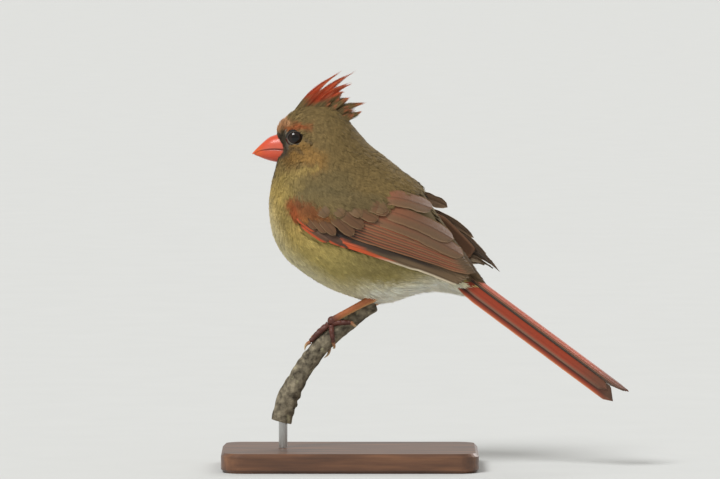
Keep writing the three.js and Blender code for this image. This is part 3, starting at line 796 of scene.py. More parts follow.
def spikes(path, normal, width, colour, root_uv):
    """Closed barbs. path is (n, 3, 3): root, middle and tip. normal is (n, 3, 3) alike."""
    count = len(path)
    across = unit(np.cross(normal[:, 0], unit(path[:, 2] - path[:, 0])))
    aside = across[:, None] * SPIKE_SIDE[:, None]
    points = np.empty((count, 7, 3))
    normals = np.empty((count, 7, 3))
    for ring, fullness in ((0, 0.8), (1, 1.0)):
        half = (width * fullness / 2)[:, None, None]
        rows = slice(3 * ring, 3 * ring + 3)
        rise = normal[:, ring, None] * SPIKE_RISE[:, None]
        points[:, rows] = path[:, ring, None] + aside * half + rise * half * 0.7
        normals[:, rows] = normal[:, ring, None] + aside * 0.35
    points[:, 6] = path[:, 2]
    normals[:, 6] = normal[:, 2]
    faces = (SPIKE_FACES[None] + 7 * np.arange(count)[:, None, None]).reshape(-1, 3)
    patch = np.array([[-1, -1], [1, -1], [0, -1], [-1, 0.3], [1, 0.3], [0, 0.3], [0, 1]])
    uv = root_uv[:, None] + patch * BARB_PATCH / 2
    # Roots are a little darker than tips
    tone = np.repeat([0.87, 0.99, 1.05], [3, 3, 1])
    shaded = colour[:, None] * tone[:, None]
    points, normals, shaded = (part.reshape(-1, 3) for part in (points, normals, shaded))
    return points, faces, normals, shaded, uv.reshape(-1, 2)


def scatter(s_range, theta_range, per_mm2):
    """Evenly scattered places on the body, as stations and angles."""
    cells = 90
    s_edges, t_edges = np.linspace(*s_range, cells), np.linspace(*theta_range, cells)
    middles = [(edges[1:] + edges[:-1]) / 2 for edges in (s_edges, t_edges)]
    s_mid, t_mid = (part.ravel() for part in np.meshgrid(*middles, indexing="ij"))
    s_size, t_size = s_edges[1] - s_edges[0], t_edges[1] - t_edges[0]
    _, _, along, round_it = body_frame(s_mid, t_mid)
    expected = np.linalg.norm(np.cross(along, round_it), axis=1) * s_size * t_size * per_mm2
    count = np.floor(expected + rng.random(len(expected))).astype(int)
    s, theta = np.repeat(s_mid, count), np.repeat(t_mid, count)
    s = s + (rng.random(len(s)) - 0.5) * s_size
    theta = theta + (rng.random(len(s)) - 0.5) * t_size
    return s, theta


def wing_cover(points, side):
    """Where the wing's own feathers lie bare, and how high the coat lies over the wing."""
    x, z = on_left_wing(points[:, 0], points[:, 2], side)
    outer = np.abs(points[:, 1]) > 5.0
    bare = inside(BARE_WING, x, z) & outer
    gap = outline_distance(BARE_WING, x, z)
    u, v = line_station(WING, x, z)
    shoulder = smooth_step(0.12, 0.4, v) * smooth_step(0.2, 1.0, u) * smooth_step(8.5, 7.0, u)
    return bare, SHOULDER_RISE * shoulder * np.exp(-(gap / 11.0) ** 2) * outer


def over_wing(centre, rise, side):
    """Pushes coat points out to lie over the folded wing where there is one under them."""
    x, z = on_left_wing(centre[:, 0], centre[:, 2], side)
    u, v = line_station(WING, x, z)
    wing_y = np.abs(wing_place(x, z, -1)[:, 1])
    under = (rise > 0.25) & (v < 1.05) & (u > 0.3) & (u < WING_SHEET_END)
    soft = smooth_step(0.25, 0.9, rise) * smooth_step(1.05, 0.85, v)
    depth = np.abs(centre[:, 1])
    pushed = np.where(under, np.maximum(depth, wing_y + 0.2), depth)
    centre[:, 1] = side * (depth + (pushed - depth) * soft)
    return centre


def forehead_rise(points):
    """How far the feathers over the bill's base stand out, in millimetres."""
    _, away = pull(points[:, [0, 2]], (-33.2, 154.0), (-32.3, 156.5))
    return 1.1 * smooth_step(4.0, 1.0, away) * smooth_step(9.0, 5.0, np.abs(points[:, 1]))


def eye_gap(points, half_x, half_z):
    """Below 1 inside the oval round the eyes that feathers leave free."""
    return (((points[..., 0] - EYE_CENTRE[0] - 0.3) / half_x) ** 2
            + ((points[..., 2] - EYE_CENTRE[2]) / half_z) ** 2)


def coat_roots(s_range, theta_range, per_mm2, side):
    """Stations, angles, places and rise over the wing of the feathers of one piece."""
    s, theta = scatter(s_range, theta_range, per_mm2)
    points = body_point(s, theta)
    bare, rise = wing_cover(points, side)
    in_eye = (eye_gap(points, *LID_CLEARANCE[0]) < 1) & (points[:, 2] > HEAD_FLOOR)
    keep = ~bare & ~in_eye
    return s[keep], theta[keep], points[keep], rise[keep]


def lay_barbs(side, s, theta, rise, depth, lean, roll, reach, offset, lift):
    """Roots, middles and tips of barbs that lie along the body, and the normals there."""
    _, _, along, round_it = body_frame(s, theta)
    s_rate = 1 / np.maximum(np.linalg.norm(along, axis=1), 0.8)
    t_rate = 1 / np.maximum(np.linalg.norm(round_it, axis=1), 2.0)
    path, normals = [], []
    for q in (0.0, 0.5, 1.0):
        height = -depth * (1 - q) ** 1.5 + lift * q + rise
        sideways = offset * (0.3 + 0.7 * q) + lean * reach * q
        centre, out, _, _ = body_frame(s + reach * q * s_rate, theta + sideways * t_rate)
        path.append(over_wing(centre, rise, side) + out * height[:, None])
        normals.append(out - (0.9 * roll)[:, None] * unit(round_it))
    return np.stack(path, axis=1), unit(np.stack(normals, axis=1))


def coat(name, side, s_range, per_mm2, material):
    """One piece of coat: a side of the body between two stations."""
    first_angle = 0.0 if side < 0 else np.pi
    s, theta, points, rise = coat_roots(s_range, (first_angle, first_angle + np.pi), per_mm2,
                                        side)
    length, width, depth = coat_style(points)
    count = len(s)

    # Markings belong to whole feathers, so their borders run along the feathers
    tone = 1 + rng.normal(0, 0.085, count) + 0.05 * wobble(points, 1.0, 4.0, 5)[:, 0]
    colour = plumage(points + wobble(points, 0.9, 5.0, 3), theta) * tone[:, None]

    # Each feather is a fan of barbs with a rounded end, tilted a little to one side
    fan = np.linspace(-1, 1, BARBS)
    spread = (0.8 + 0.4 * rng.random((count, 1))) * length[:, None] * FAN_SPREAD
    lean = rng.normal(0, 0.1, count)
    roll = rng.normal(0, 0.16, count)
    raised = rng.normal(0, 0.16, count) + 0.1 + forehead_rise(points)
    raised += fluff(points) * rng.uniform(-0.5, 1.6, count)
    uneven = 0.88 + 0.24 * rng.random((count, BARBS))
    reach = length[:, None] * (1 - FAN_ROUND * fan**2) * uneven
    offset = fan * spread + rng.normal(0, 0.08, (count, BARBS))
    lift = (raised[:, None] + roll[:, None] * offset + rng.normal(0, 0.06, (count, BARBS))
            - FAN_DROOP * fan**2 * spread)

    # From here on every barb has its own row
    reach, offset, lift = reach.ravel(), offset.ravel(), lift.ravel()
    s, theta, rise, width, depth, lean, roll = (
        np.repeat(values, BARBS) for values in (s, theta, rise, width, depth, lean, roll))
    path, normals = lay_barbs(side, s, theta, rise, depth, lean, roll, reach, offset, lift)
    clear = (eye_gap(path[:, 1:], *LID_CLEARANCE[1]) > 1).all(axis=1)
    good = clear | (path[:, 0, 2] < HEAD_FLOOR)
    colour = np.repeat(colour, BARBS, axis=0) * (1 + rng.normal(0, 0.05, len(s)))[:, None]
    root_uv = np.stack([(theta - first_angle) / np.pi,
                        (s - s_range[0]) / (s_range[1] - s_range[0])], axis=1) * 0.98 + 0.01
    points, faces, normals, shaded, uv = spikes(
        *(part[good] for part in (path, normals, width, colour, root_uv)))
    piece = make_mesh(name, points, [faces], shaded, normals, uv)
    finish_piece(piece, material, "plumage_body")


def build_coat():
    material = plumage_material("coat_barbs")
    for zone, (first, last, per_mm2) in COAT_ZONES.items():
        for side, word in SIDES.items():
            coat(f"coat_{zone}_{word}", side, (first, last), per_mm2, material)


# Feathers with a shaft and two vanes

VANE_COLUMNS = np.array([-1.0, -0.84, -0.7, -0.4, -0.12, -0.035, 0.035, 0.12, 0.45, 0.8, 1.0])
VANE_ROWS = 20
VANE_THICKNESS = 0.2
SHAFT_HALF = 0.05  # half width of the shaft, as a share of the vane's


def vane_solid(place, length, halves, paint, tip_start, camber=0.25, ragged=0.03,
               across_mm=1.0):
    """A closed feather. place(q, across, lift) gives points on the surface."""
    columns = len(VANE_COLUMNS)
    q = np.repeat(np.linspace(0, 1, VANE_ROWS) ** 0.9, columns)
    a = np.tile(VANE_COLUMNS, VANE_ROWS)
    jitter = np.repeat(1 + rng.normal(0, ragged, VANE_ROWS), columns)
    # The half width is quickly full, and the tip is round
    past = np.clip((q - tip_start) / (1 - tip_start), 0, 1)
    profile = np.minimum(1.0, q / 0.12 + 0.05) ** 0.5 * np.sqrt(np.maximum(1 - past**2.2, 0.0))
    across = a * np.where(a < 0, *halves) * profile * np.where(np.abs(a) > 0.8, jitter, 1.0)
    lift = camber * (1 - a**2) + np.where(np.abs(a) < SHAFT_HALF, 0.1, 0.0)
    points = np.concatenate([place(q, across, lift), place(q, across, lift - VANE_THICKNESS)])
    grid = grid_faces(VANE_ROWS, columns)
    half_count = VANE_ROWS * columns
    rim = np.concatenate([
        np.arange(columns),
        np.arange(1, VANE_ROWS) * columns + columns - 1,
        (VANE_ROWS - 1) * columns + np.arange(columns - 2, -1, -1),
        np.arange(VANE_ROWS - 2, 0, -1) * columns,
    ])
    after = np.roll(rim, -1)
    sides = np.stack([after, after + half_count, rim + half_count, rim], axis=1)
    colour = paint(q, a)
    return {
        "solid": (points, outward(points, [grid, grid[:, ::-1] + half_count, sides])),
        "colour": np.concatenate([colour, mix(colour, UNDERSIDE, 0.65)]),
        "vane": np.tile(np.stack([across * across_mm, q * length], axis=1), (2, 1)),
        "cell": np.tile(np.stack([a, q], axis=1), (2, 1)),
    }


def vane_piece(name, feathers, material, slot, *nodes):
    """One piece from many feathers, each with its own cell of the bake map."""
    columns = math.ceil(math.sqrt(len(feathers)))
    bake = [([k % columns, k // columns] + np.array([0.5, 0.05])
             + feather["cell"] * np.array([0.45, 0.9])) / columns
            for k, feather in enumerate(feathers)]
    points, faces = join_solids([feather["solid"] for feather in feathers])
    colour, vane = (np.concatenate([feather[key] for feather in feathers])
                    for key in ("colour", "vane"))
    piece = make_mesh(name, points, faces, colour, bake=np.concatenate(bake), vane=vane)
    finish_piece(piece, material, slot, *nodes)


def with_shaft(colour, a, shade):
    return colour * np.where(np.abs(a) < SHAFT_HALF, shade, 1.0)[:, None]


# Wings

def wing_feather(side, path, halves, lift, paint, tip_start, tilt=0.3, full_at=0.35):
    """A feather on a wing; path is its root, bend and tip in the left wing's side view."""
    root, bend, tip = np.array(path)

    def place(q, across, height):
        t = q[:, None]
        ahead = unit(2 * (bend - root) * (1 - t) + 2 * (tip - bend) * t)
        aside = np.stack([-ahead[:, 1], ahead[:, 0]], axis=1)
        x, z = (bent_line(root, bend, tip, t) + aside * across[:, None]).T
        raised = lift * smooth_step(0.0, full_at, q) + height - tilt * across / max(halves)
        return wing_frame(x, z, side, raised)[0]

    return vane_solid(place, math.dist(root, tip), halves, paint, tip_start)


def painter(middle, edge, tip, edge_at, tip_from=0.85):
    """Colours of a feather: a middle, one bright outer edge, and a tip."""
    tone = 1 + rng.normal(0, 0.05)

    def paint(q, a):
        outer = smooth_step(edge_at - 0.06, edge_at + 0.1, -a) * smooth_step(0.0, 0.15, q)
        colour = paint_over(middle * tone, len(q), (edge, outer),
                            (tip, smooth_step(tip_from, 1.0, q)))
        return with_shaft(colour, a, 0.75)

    return paint


def fringed(middle):
    """A covert with a thin pale fringe."""
    return painter(middle, COVERT_FRINGE, COVERT_FRINGE, 0.88, 0.95)


def rooted(paint, until, coat_colour=OLIVE_BACK * [0.84, 0.8, 0.72]):
    """The same feather with its root in the colour of the coat that it grows from."""
    def soft(q, a):
        return mix(coat_colour, paint(q, a), smooth_step(0.5 * until, until, q))

    return soft


def stepped(first, last, count):
    """Bent lines that step evenly from the first to the last."""
    for k in range(count):
        yield [between(a, b, k / (count - 1)) for a, b in zip(first, last)]


def primary_paint(k):
    """Brown with a pale edge; the two lowest have a red web that narrows to a point."""
    tone = 1 + rng.normal(0, 0.04)

    def paint(q, a):
        # The dark is partly the inner webs' own dark brown and partly painted shade: in the gap
        # under the secondaries, and at the roots of the three feathers that lie beneath the first
        # two.
        if k > 1:
            layers = [(WING_DARK, smooth_step(0.75, 0.5, q))]
        else:
            inner = np.maximum(smooth_step(-0.05, 0.3, a) * smooth_step(0.66, 0.46, q),
                               smooth_step(0.5, 0.8, a) * smooth_step(0.95, 0.7, q))
            web = smooth_step(0.15, -0.15, a + 2.4 * (q - 0.36)) * smooth_step(0.65, 0.5, q)
            layers = [(WING_DARK, 0.9 * inner), (WING_ORANGE, web)]
        edge = smooth_step(-0.45, -0.75, a) * smooth_step(0.4, 0.55, q)
        layers.append((PRIMARY_EDGE, (0.95 if k == 0 else 0.3) * edge))
        return with_shaft(paint_over(PRIMARY_BROWN * tone, len(q), *layers), a, 0.7)

    return paint


def primaries(side):
    """The lowest layer: long feathers whose outer webs are red near the coverts."""
    lifts = (0.95, 0.6, 0.35, 0.22, 0.1)
    paths = stepped(side_view((316, 231.5), (388, 250.5), (459, 283)),
                    side_view((326, 229), (396, 247), (469, 277)), len(lifts))
    return [wing_feather(side, path, (1.7, 3.0), lift, primary_paint(k), 0.93)
            for k, (path, lift) in enumerate(zip(paths, lifts))]


def secondaries(side):
    """Stepped red-edged stripes over the middle of the wing."""
    count = 8
    paths = stepped(side_view((338, 226), (400, 244.5), (475, 273)),
                    side_view((342, 207), (407, 228), (458, 255)), count)
    feathers = []
    for k, path in enumerate(paths):
        edge = WING_RED if k % 2 else mix(WING_RED, WING_BUFF, 0.5)
        middle = mix(WING_DARK * 1.5, TERTIAL * 0.85, k / (count - 1))
        paint = painter(middle, edge, PRIMARY_BROWN, 0.68)
        feathers.append(wing_feather(side, path, (2.1, 3.4), 0.9 + 0.09 * k, paint, 0.9,
                                     tilt=0.35))
    return feathers


def tertial_paint():
    """Reddish brown with paler edges."""
    tone = 1 + rng.normal(0, 0.03)

    def paint(q, a):
        colour = paint_over(
            TERTIAL * tone, len(q),
            (WING_RED, 0.5 * smooth_step(0.7, 0.2, q)),
            (PRIMARY_BROWN, 0.6 * smooth_step(-0.1, -0.5, a)),
            (WING_BUFF, 0.8 * smooth_step(0.8, 0.95, np.abs(a))),
            (WING_BUFF, 0.8 * smooth_step(0.955, 0.985, q)),
        )
        return with_shaft(colour, a, 0.72)

    return rooted(paint, 0.18)


def tertials(side):
    """The three broad feathers on top."""
    shapes = [
        (side_view((350, 205), (417, 226), (461, 257)), (3.6, 3.4), 1.8),
        (side_view((368, 203), (416, 216), (450, 241)), (3.8, 3.4), 2.1),
        (side_view((372, 194), (404, 197), (428, 210)), (3.4, 3.4), 2.4),
    ]
    return [wing_feather(side, path, halves, lift, tertial_paint(), 0.72)
            for path, halves, lift in shapes]


def greater_coverts(side):
    """Rounded brown coverts with thin pale fringes, broader towards the back."""
    roots = side_view((297, 209), (301, 206), (303, 200), (307, 197), (316, 198), (326, 199),
                      (341, 199), (355, 198))
    tips = side_view((310, 220), (318, 225), (327, 229), (336, 231), (354, 231), (363, 224),
                     (377, 217), (387, 211))
    halves = (1.6, 1.8, 2.0, 2.3, 2.8, 2.9, 3.0, 2.9)
    feathers = []
    for k, (root, tip, half) in enumerate(zip(roots, tips, halves)):
        bend_x, bend_z = between(root, tip, 0.55)
        path = (root, (bend_x - 0.3, bend_z + 1.0), tip)
        coat_colour = mix(RUST * 0.6, OLIVE_BACK, min(1, k / 4))
        paint = rooted(fringed(COVERT_BROWN), 0.6, coat_colour)
        feathers.append(wing_feather(side, path, (half, half), 1.5 + 0.12 * k, paint, 0.7,
                                     tilt=0.35, full_at=0.6))
    return feathers


def median_coverts(side):
    """Short olive brown coverts whose ends show below the shoulder feathers."""
    roots = side_view((314, 197), (328, 195), (344, 194), (362, 193))
    tips = side_view((329, 213), (344, 213), (361, 213.5), (384, 210))
    feathers = []
    for k, (root, tip) in enumerate(zip(roots, tips)):
        path = (root, between(root, tip, 0.5), tip)
        paint = rooted(fringed(mix(COVERT_BROWN, OLIVE_BACK, 0.3)), 0.7)
        feathers.append(wing_feather(side, path, (2.9, 2.9), 2.5 + 0.06 * k, paint, 0.6,
                                     full_at=0.9))
    return feathers


def wrist_feathers(side):
    """The alula and the primary coverts: short dark feathers below the coverts."""
    shapes = [
        (side_view((318, 226), (332, 234), (349, 243.5)), 1.6, 0.7, rgb(86, 60, 44)),
        (side_view((313, 224), (328, 233), (343, 241)), 1.6, 0.9, rgb(86, 60, 44)),
        (side_view((302, 217), (314, 228), (330, 237)), 2.1, 1.15, rgb(96, 68, 48)),
        (side_view((297, 210), (306, 219), (318, 227)), 1.7, 1.4, rgb(88, 58, 38)),
    ]
    return [wing_feather(side, path, (half, half), lift,
                         painter(colour, WING_ORANGE * 0.8, colour, 0.45), 0.7)
            for path, half, lift, colour in shapes]


def wing_floor(side):
    """The closed sheet under the feathers, dark as their shaded roots."""
    u, v = np.linspace(0.6, WING_SHEET_END, 40), np.linspace(0.03, 0.97, 12)
    row = row_at(WING, u)[:, :, None]
    # Its upper edge stays below the shoulder feathers
    high = np.interp(u, [0.6, 2.0, 4.0, 5.0, 6.0], [0.35, 0.5, 0.6, 0.75, 0.9])
    low = np.interp(u, [0.6, 2.0, 3.0], [0.2, 0.12, 0.0])
    share = low[:, None] + v * (high - low)[:, None]
    x = row[:, 0] + (row[:, 2] - row[:, 0]) * share
    z = row[:, 1] + (row[:, 3] - row[:, 1]) * share
    top, under = (wing_frame(x.ravel(), z.ravel(), side, np.full(x.size, lift))[0]
                  .reshape(*x.shape, 3) for lift in (0.15, -0.55))
    return closed_rings(np.concatenate([top, under[:, ::-1]], axis=1))


def build_wings():
    vanes, shade = vane_material("wing_vanes"), plumage_material("wing_shade", 0.8)
    slot = "plumage_wing"
    for side, word in SIDES.items():
        points, faces = wing_floor(side)
        x, _, z = points.T
        colour = paint_over(WING_DARK, len(points),
                            (TERTIAL, 0.8 * smooth_step(90.0, 112.0, z + 0.6 * (x - 30.0))),
                            (COVERT_BROWN, smooth_step(-4.0, -14.0, x)))
        finish_piece(make_mesh(f"wing_{word}_underlayer", points, faces, colour), shade, slot)
        flight = primaries(side) + secondaries(side) + tertials(side)
        vane_piece(f"wing_{word}_flight_feathers", flight, vanes, slot, f"wing_{word}_flight")
        coverts = wrist_feathers(side) + greater_coverts(side) + median_coverts(side)
        vane_piece(f"wing_{word}_covert_feathers", coverts, vanes, slot, f"wing_{word}_coverts")


# Tail

# A pair of feathers to a row, the middle pair first: visible length, how far out the outer edge
# lies, the web's colour, where the brown tip begins, and stripes along the web as colour,
# strength, and where across the web they begin and are full
TAIL_PAIRS = [
    (TAIL_LENGTH, 0.365, TAIL_PINK, 0.7, []),
    # The second pair's pale outer edge is painted rim light.
    (85.0, 0.425, mix(TAIL_BROWN, TAIL_PINK, 0.4), 0.8, [(TAIL_RIM_LIGHT * 0.7, 0.7, 0.8, 0.95)]),
    (84.0, 0.475, TAIL_BROWN, 0.8, []),
    # The fourth pair's dark web is painted shade: the dark line that shows between the pairs over
    # and under it.
    (82.0, 0.505, WING_DARK, 0.8, []),
    (77.5, 0.84, TAIL_RED, 0.7, [(UNDERSIDE * 0.75, 0.75, 0.3, 0.8)]),
    # The outer pair's dark inner part is painted shade under the pair over it.
    (82.5, 1.0, TAIL_RED * 0.85, 0.88,
     # Its pale outer edge is painted rim light.
     [(WING_DARK, 0.8, 0.3, 0.0), (TAIL_RIM_LIGHT, 1.0, 0.75, 0.92)]),
]
TAIL_HALVES = (0.36, 0.13)  # half widths of a feather's two webs, as shares of the arch
TAIL_ARC_MM = 17.0


def tail_paint(web, tip_from, stripes):
    def paint(q, a):
        colour = paint_over(
            TAIL_BROWN, len(q),
            (web, smooth_step(-0.95, -0.6, a)),
            *((tint, strength * smooth_step(begins, full, a))
              for tint, strength, begins, full in stripes),
            (TAIL_BROWN, 0.85 * smooth_step(tip_from, 0.98, q)),
        )
        return with_shaft(colour, a, 0.85)

    return paint


def tail_feather(side, pair, length, edge, *looks):
    inner, outer = TAIL_HALVES

    def place(q, across, lift):
        out = np.maximum(edge - outer + across, -0.12)
        raised = lift + 0.5 - 0.13 * pair + 0.3 * across / inner
        return tail_place(out, q * (length + TAIL_COVERED) - TAIL_COVERED, raised, side)

    return vane_solid(place, length, TAIL_HALVES, tail_paint(*looks), 0.93, camber=0.12,
                      ragged=0.012, across_mm=TAIL_ARC_MM)


def build_tail():
    """Twelve feathers under a roof, each pair over the next pair out."""
    feathers = [tail_feather(side, pair, *row)
                for side in SIDES for pair, row in enumerate(TAIL_PAIRS)]
    vane_piece("tail_feathers", feathers, vane_material("tail_vanes"), "plumage_tail", "tail")


# Crest: long fine strands that draw together into pointed locks

def strands(paths, width, normals, colour, root_uv):
    """Closed three-sided strands along paths (n, rings, 3), pointed at the tip."""
    count, rings = paths.shape[:2]
    ahead = unit(np.gradient(paths, axis=1))
    across = unit(np.cross(normals, ahead))
    out = unit(np.cross(ahead, across))
    q = np.linspace(0, 1, rings)
    fullness = (0.75 + 0.25 * np.sin(np.pi * q)) * (1 - q**3) + 0.04
    half = (width[:, None] * fullness[None] / 2)[:, :, None]
    points = np.stack([paths - across * half, paths + across * half, paths + out * half * 0.8],
                      axis=2)
    caps = np.array([[0, 2, 1], [rings * 3 - 3, rings * 3 - 2, rings * 3 - 1]])
    first = (np.arange(count) * rings * 3)[:, None, None]
    faces = [(part + first).reshape(-1, part.shape[1])
             for part in (grid_faces(rings, 3, wrap=True), caps)]
    step = np.stack([np.tile([-1, 1, 0], rings), np.repeat(q * 2 - 1, 3)], axis=1)
    uv = (root_uv[:, None] + step * BARB_PATCH / 2).reshape(-1, 2)
    return points.reshape(-1, 3), faces, np.repeat(colour, 3, axis=1).reshape(-1, 3), uv


def crest_colour(place, share, warm_end):
    """Olive roots, red where the tall locks stand, and warm pale ends, partly their own pale tips
    and partly painted highlight.
    """
    flat = (place + wobble(place, 0.8, 6.0, 9))[:, [0, 2]]
    _, red = pull(flat, (-15, 172.5), (-1, 179.5))
    return paint_over(
        OLIVE_HEAD, len(place),
        (CREST_RED, smooth_step(5.6, 3.8, red)),
        # The warm and pale ends are partly the feathers' own pale tips and partly painted
        # highlight.
        (CREST_TIP * [0.95, 0.62, 0.5], 0.7 * smooth_step(0.6, 0.85, share) * warm_end),
        (CREST_TIP, 0.8 * smooth_step(0.84, 1.0, share)),
    )


def crest_stops(row, aside):
    """Root, middle and tip of each feather, drawn closer together towards the tip."""
    for k, (half, drop, uneven, narrow, shift) in enumerate((
        (6.4, 2.6, 0.7, 0.4, (0.8, 0, -0.8)),
        (3.8, 1.2, 0.45, 0.5, (0.6, 0, -0.8)),
        (1.3, 0.0, 0.3, 0.6, (0, 0, 0)),
    )):
        x, z = row[:, 2 * k], row[:, 2 * k + 1]
        stop = np.stack([x, aside * half, z - drop * aside**2], axis=1)
        yield stop + rng.normal(0, uneven, (len(row), 3)) * [1, narrow, 1] + shift


def crest_feathers():
    """Each feather's root, middle, tip, lock, place aside, order, reach, tone and half width."""
    count, last = CREST_FEATHERS, len(CREST) - 1
    lock = np.repeat(np.arange(len(CREST)), CREST_LOCK_FEATHERS).astype(float)
    in_lock = np.arange(count) < len(lock)
    lock = np.concatenate([lock, rng.random(count - len(lock)) * last])
    lock = np.clip(lock + np.where(in_lock, 0.04, 0.2) * rng.normal(0, 1, count), 0, last)
    aside = np.clip(rng.normal(0, 1, count) * np.where(in_lock, 0.22, 0.45), -1, 1)
    order = rng.random(count)
    reach = np.where(in_lock, 0.87 + 0.23 * order, 0.45 + 0.4 * order)
    reach = reach * (1 - 0.2 * np.abs(aside))
    stops = list(crest_stops(row_at(CREST, lock), aside))
    tone = 1 + rng.normal(0, 0.13, count)
    half = rng.uniform(0.8, 1.5, count)
    return *stops, lock, aside, order, reach, tone, half


def build_crest():
    """Narrow feathers, each a sheaf of strands that closes to a point."""
    root, middle, tip, lock, aside, order, reach, tone, half = (
        np.repeat(values, CREST_STRANDS, axis=0) for values in crest_feathers())
    total = len(lock)
    fan = np.tile(np.linspace(-1, 1, CREST_STRANDS), CREST_FEATHERS)
    across = (fan * half)[:, None] * [-0.62, 0.0, 0.62]
    sway = rng.normal(0, 0.1, (total, 3))
    root = root + across * 0.8 + sway
    middle = middle + across + sway
    tip = tip + across * 0.12 + sway * 0.6
    strand_reach = reach * (1 - 0.3 * np.abs(fan) ** 1.5) * rng.uniform(0.9, 1, total)
    q = np.linspace(0, 1, STRAND_RINGS) * strand_reach[:, None]
    # The bend is set so that the line goes through the middle point
    bend = 2 * middle - (root + tip) / 2
    paths = bent_line(root[:, None], bend[:, None], tip[:, None], q[:, :, None])

    colour = crest_colour(paths.reshape(-1, 3), (q / reach[:, None]).ravel(),
                          np.repeat(order > 0.25, STRAND_RINGS))
    shade = tone + rng.normal(0, 0.07, total)
    colour = colour.reshape(total, STRAND_RINGS, 3) * shade[:, None, None]
    width = rng.uniform(0.22, 0.36, total)
    out = unit(np.stack([np.zeros(total), np.where(aside >= 0, 0.35, -0.35) + aside,
                         np.full(total, 0.35)], axis=1))
    normals = np.repeat(out[:, None], STRAND_RINGS, axis=1)
    root_uv = 0.05 + 0.9 * np.stack([(aside + 1) / 2, lock / (len(CREST) - 1)], axis=1)
    points, faces, shaded, uv = strands(paths, width, normals, colour, root_uv)
    piece = make_mesh("crest_feathers", points, faces, shaded, bake=uv)
    finish_piece(piece, plumage_material("crest_plumage", 0.6, 0.2), "plumage_crest", "crest")


# Bill and eyes

def mandible_rings(table, gape_is_low, sides):
    """Rings of half a bill, flat along the gape and round over the ridge or keel."""
    row = row_at(table, np.linspace(0, len(table) - 1, 28))
    high, low = row[:, None, 0:2], row[:, None, 2:4]
    gape, ridge = (low, high) if gape_is_low else (high, low)
    turn = np.linspace(0, np.pi, sides)
    x, z = np.moveaxis(gape + (ridge - gape) * (np.sin(turn) ** 0.9)[:, None], 2, 0)
    y = row[:, 4, None] * np.sign(np.cos(turn)) * np.abs(np.cos(turn)) ** 0.85
    return np.stack([x, y, z], axis=2)


def bill_material():
    """Coral horn, finely grained along its length."""
    shader, place = painted_shader(
        "bill_horn", 0.38, 420.0, (0.86, 1.12), (1, 1, 3), Subsurface_Weight=0.12,
        Subsurface_Scale=0.3, Subsurface_Radius=(0.004, 0.0015, 0.001), Coat_Weight=0.15,
        Specular_IOR_Level=0.5)
    shader.surface(Roughness=shader.span(shader.noise(place, 300.0), 0.32, 0.5))
    shader.bump(shader.noise(place, 700.0), 0.00006, 0.4)
    return shader.material


def build_bill():
    """Both halves: coral, with a painted highlight along the upper ridge, deeper below, with a
    dark line at the gape.
    """
    material = bill_material()
    coral, deep, pink_highlight = rgb(206, 72, 36), rgb(210, 98, 74), rgb(214, 104, 84)
    gape_line, tip_orange = rgb(120, 40, 22), rgb(216, 92, 24)
    sides = 24
    for name, table, is_upper in (("bill_upper", BILL_UPPER, True),
                                  ("bill_lower", BILL_LOWER, False)):
        rings = mandible_rings(table, is_upper, sides)
        points, faces = closed_rings(rings)
        along = on_rings(np.linspace(0, 1, len(rings)), sides)
        height = on_sides(np.sin(np.linspace(0, np.pi, sides)), len(rings), 0.5)
        before_tip = smooth_step(0.9, 0.5, along)
        # The upper half's paler pink along its ridge is a painted highlight.
        own = (pink_highlight, 0.7 * smooth_step(0.86, 1.0, height) * before_tip) if is_upper \
            else (coral, 0.5)
        colour = paint_over(deep, len(points), (coral, smooth_step(0.05, 0.6, height)), own,
                            (tip_orange, 0.7 * smooth_step(0.45, 0.8, along)),
                            (gape_line, 0.75 * smooth_step(0.14, 0.0, height) * before_tip))
        finish_piece(make_mesh(f"{name}_horn", points, faces, colour), material, "bill", name)


def eye_material():
    """Dark brown iris round a black pupil under a wet clear surface."""
    shader, _ = painted_shader("eye_gloss", 0.12, 900.0, (0.8, 1.2), (3, 1, 3), Coat_Weight=0.35,
                               Coat_Roughness=0.03, Specular_IOR_Level=0.2)
    return shader.material


def lid_material():
    shader, place = painted_shader("eyelid_skin", 0.6, 1800.0, (0.8, 1.2),
                                   Specular_IOR_Level=0.3)
    shader.bump(shader.noise(place, 2600.0), 0.00008, 0.6)
    return shader.material


def build_eyes():
    gloss, skin = eye_material(), lid_material()
    polar = np.linspace(0.02, np.pi - 0.02, 40)[:, None]
    turn = ring_angles(56)
    ball = np.stack([np.sin(polar) * np.cos(turn), np.cos(polar) + 0 * turn,
                     np.sin(polar) * np.sin(turn)], axis=2) * EYE_RADIUS
    for side, word in SIDES.items():
        centre = EYE_CENTRE * [1, side, 1]
        points, faces = closed_rings(ball * [1, side, 1] + centre)
        aim = np.hypot(points[:, 0] - centre[0], points[:, 2] - centre[2])
        colour = paint_over(rgb(10, 8, 7), len(points),
                            (rgb(34, 21, 15), smooth_step(1.5, 1.75, aim)),
                            (rgb(20, 14, 12), smooth_step(2.5, 3.0, aim)))
        finish_piece(make_mesh(f"eye_{word}_ball", points, faces, colour), gloss, "eye",
                     f"eye_{word}")
        build_lids(side, word, centre, skin)


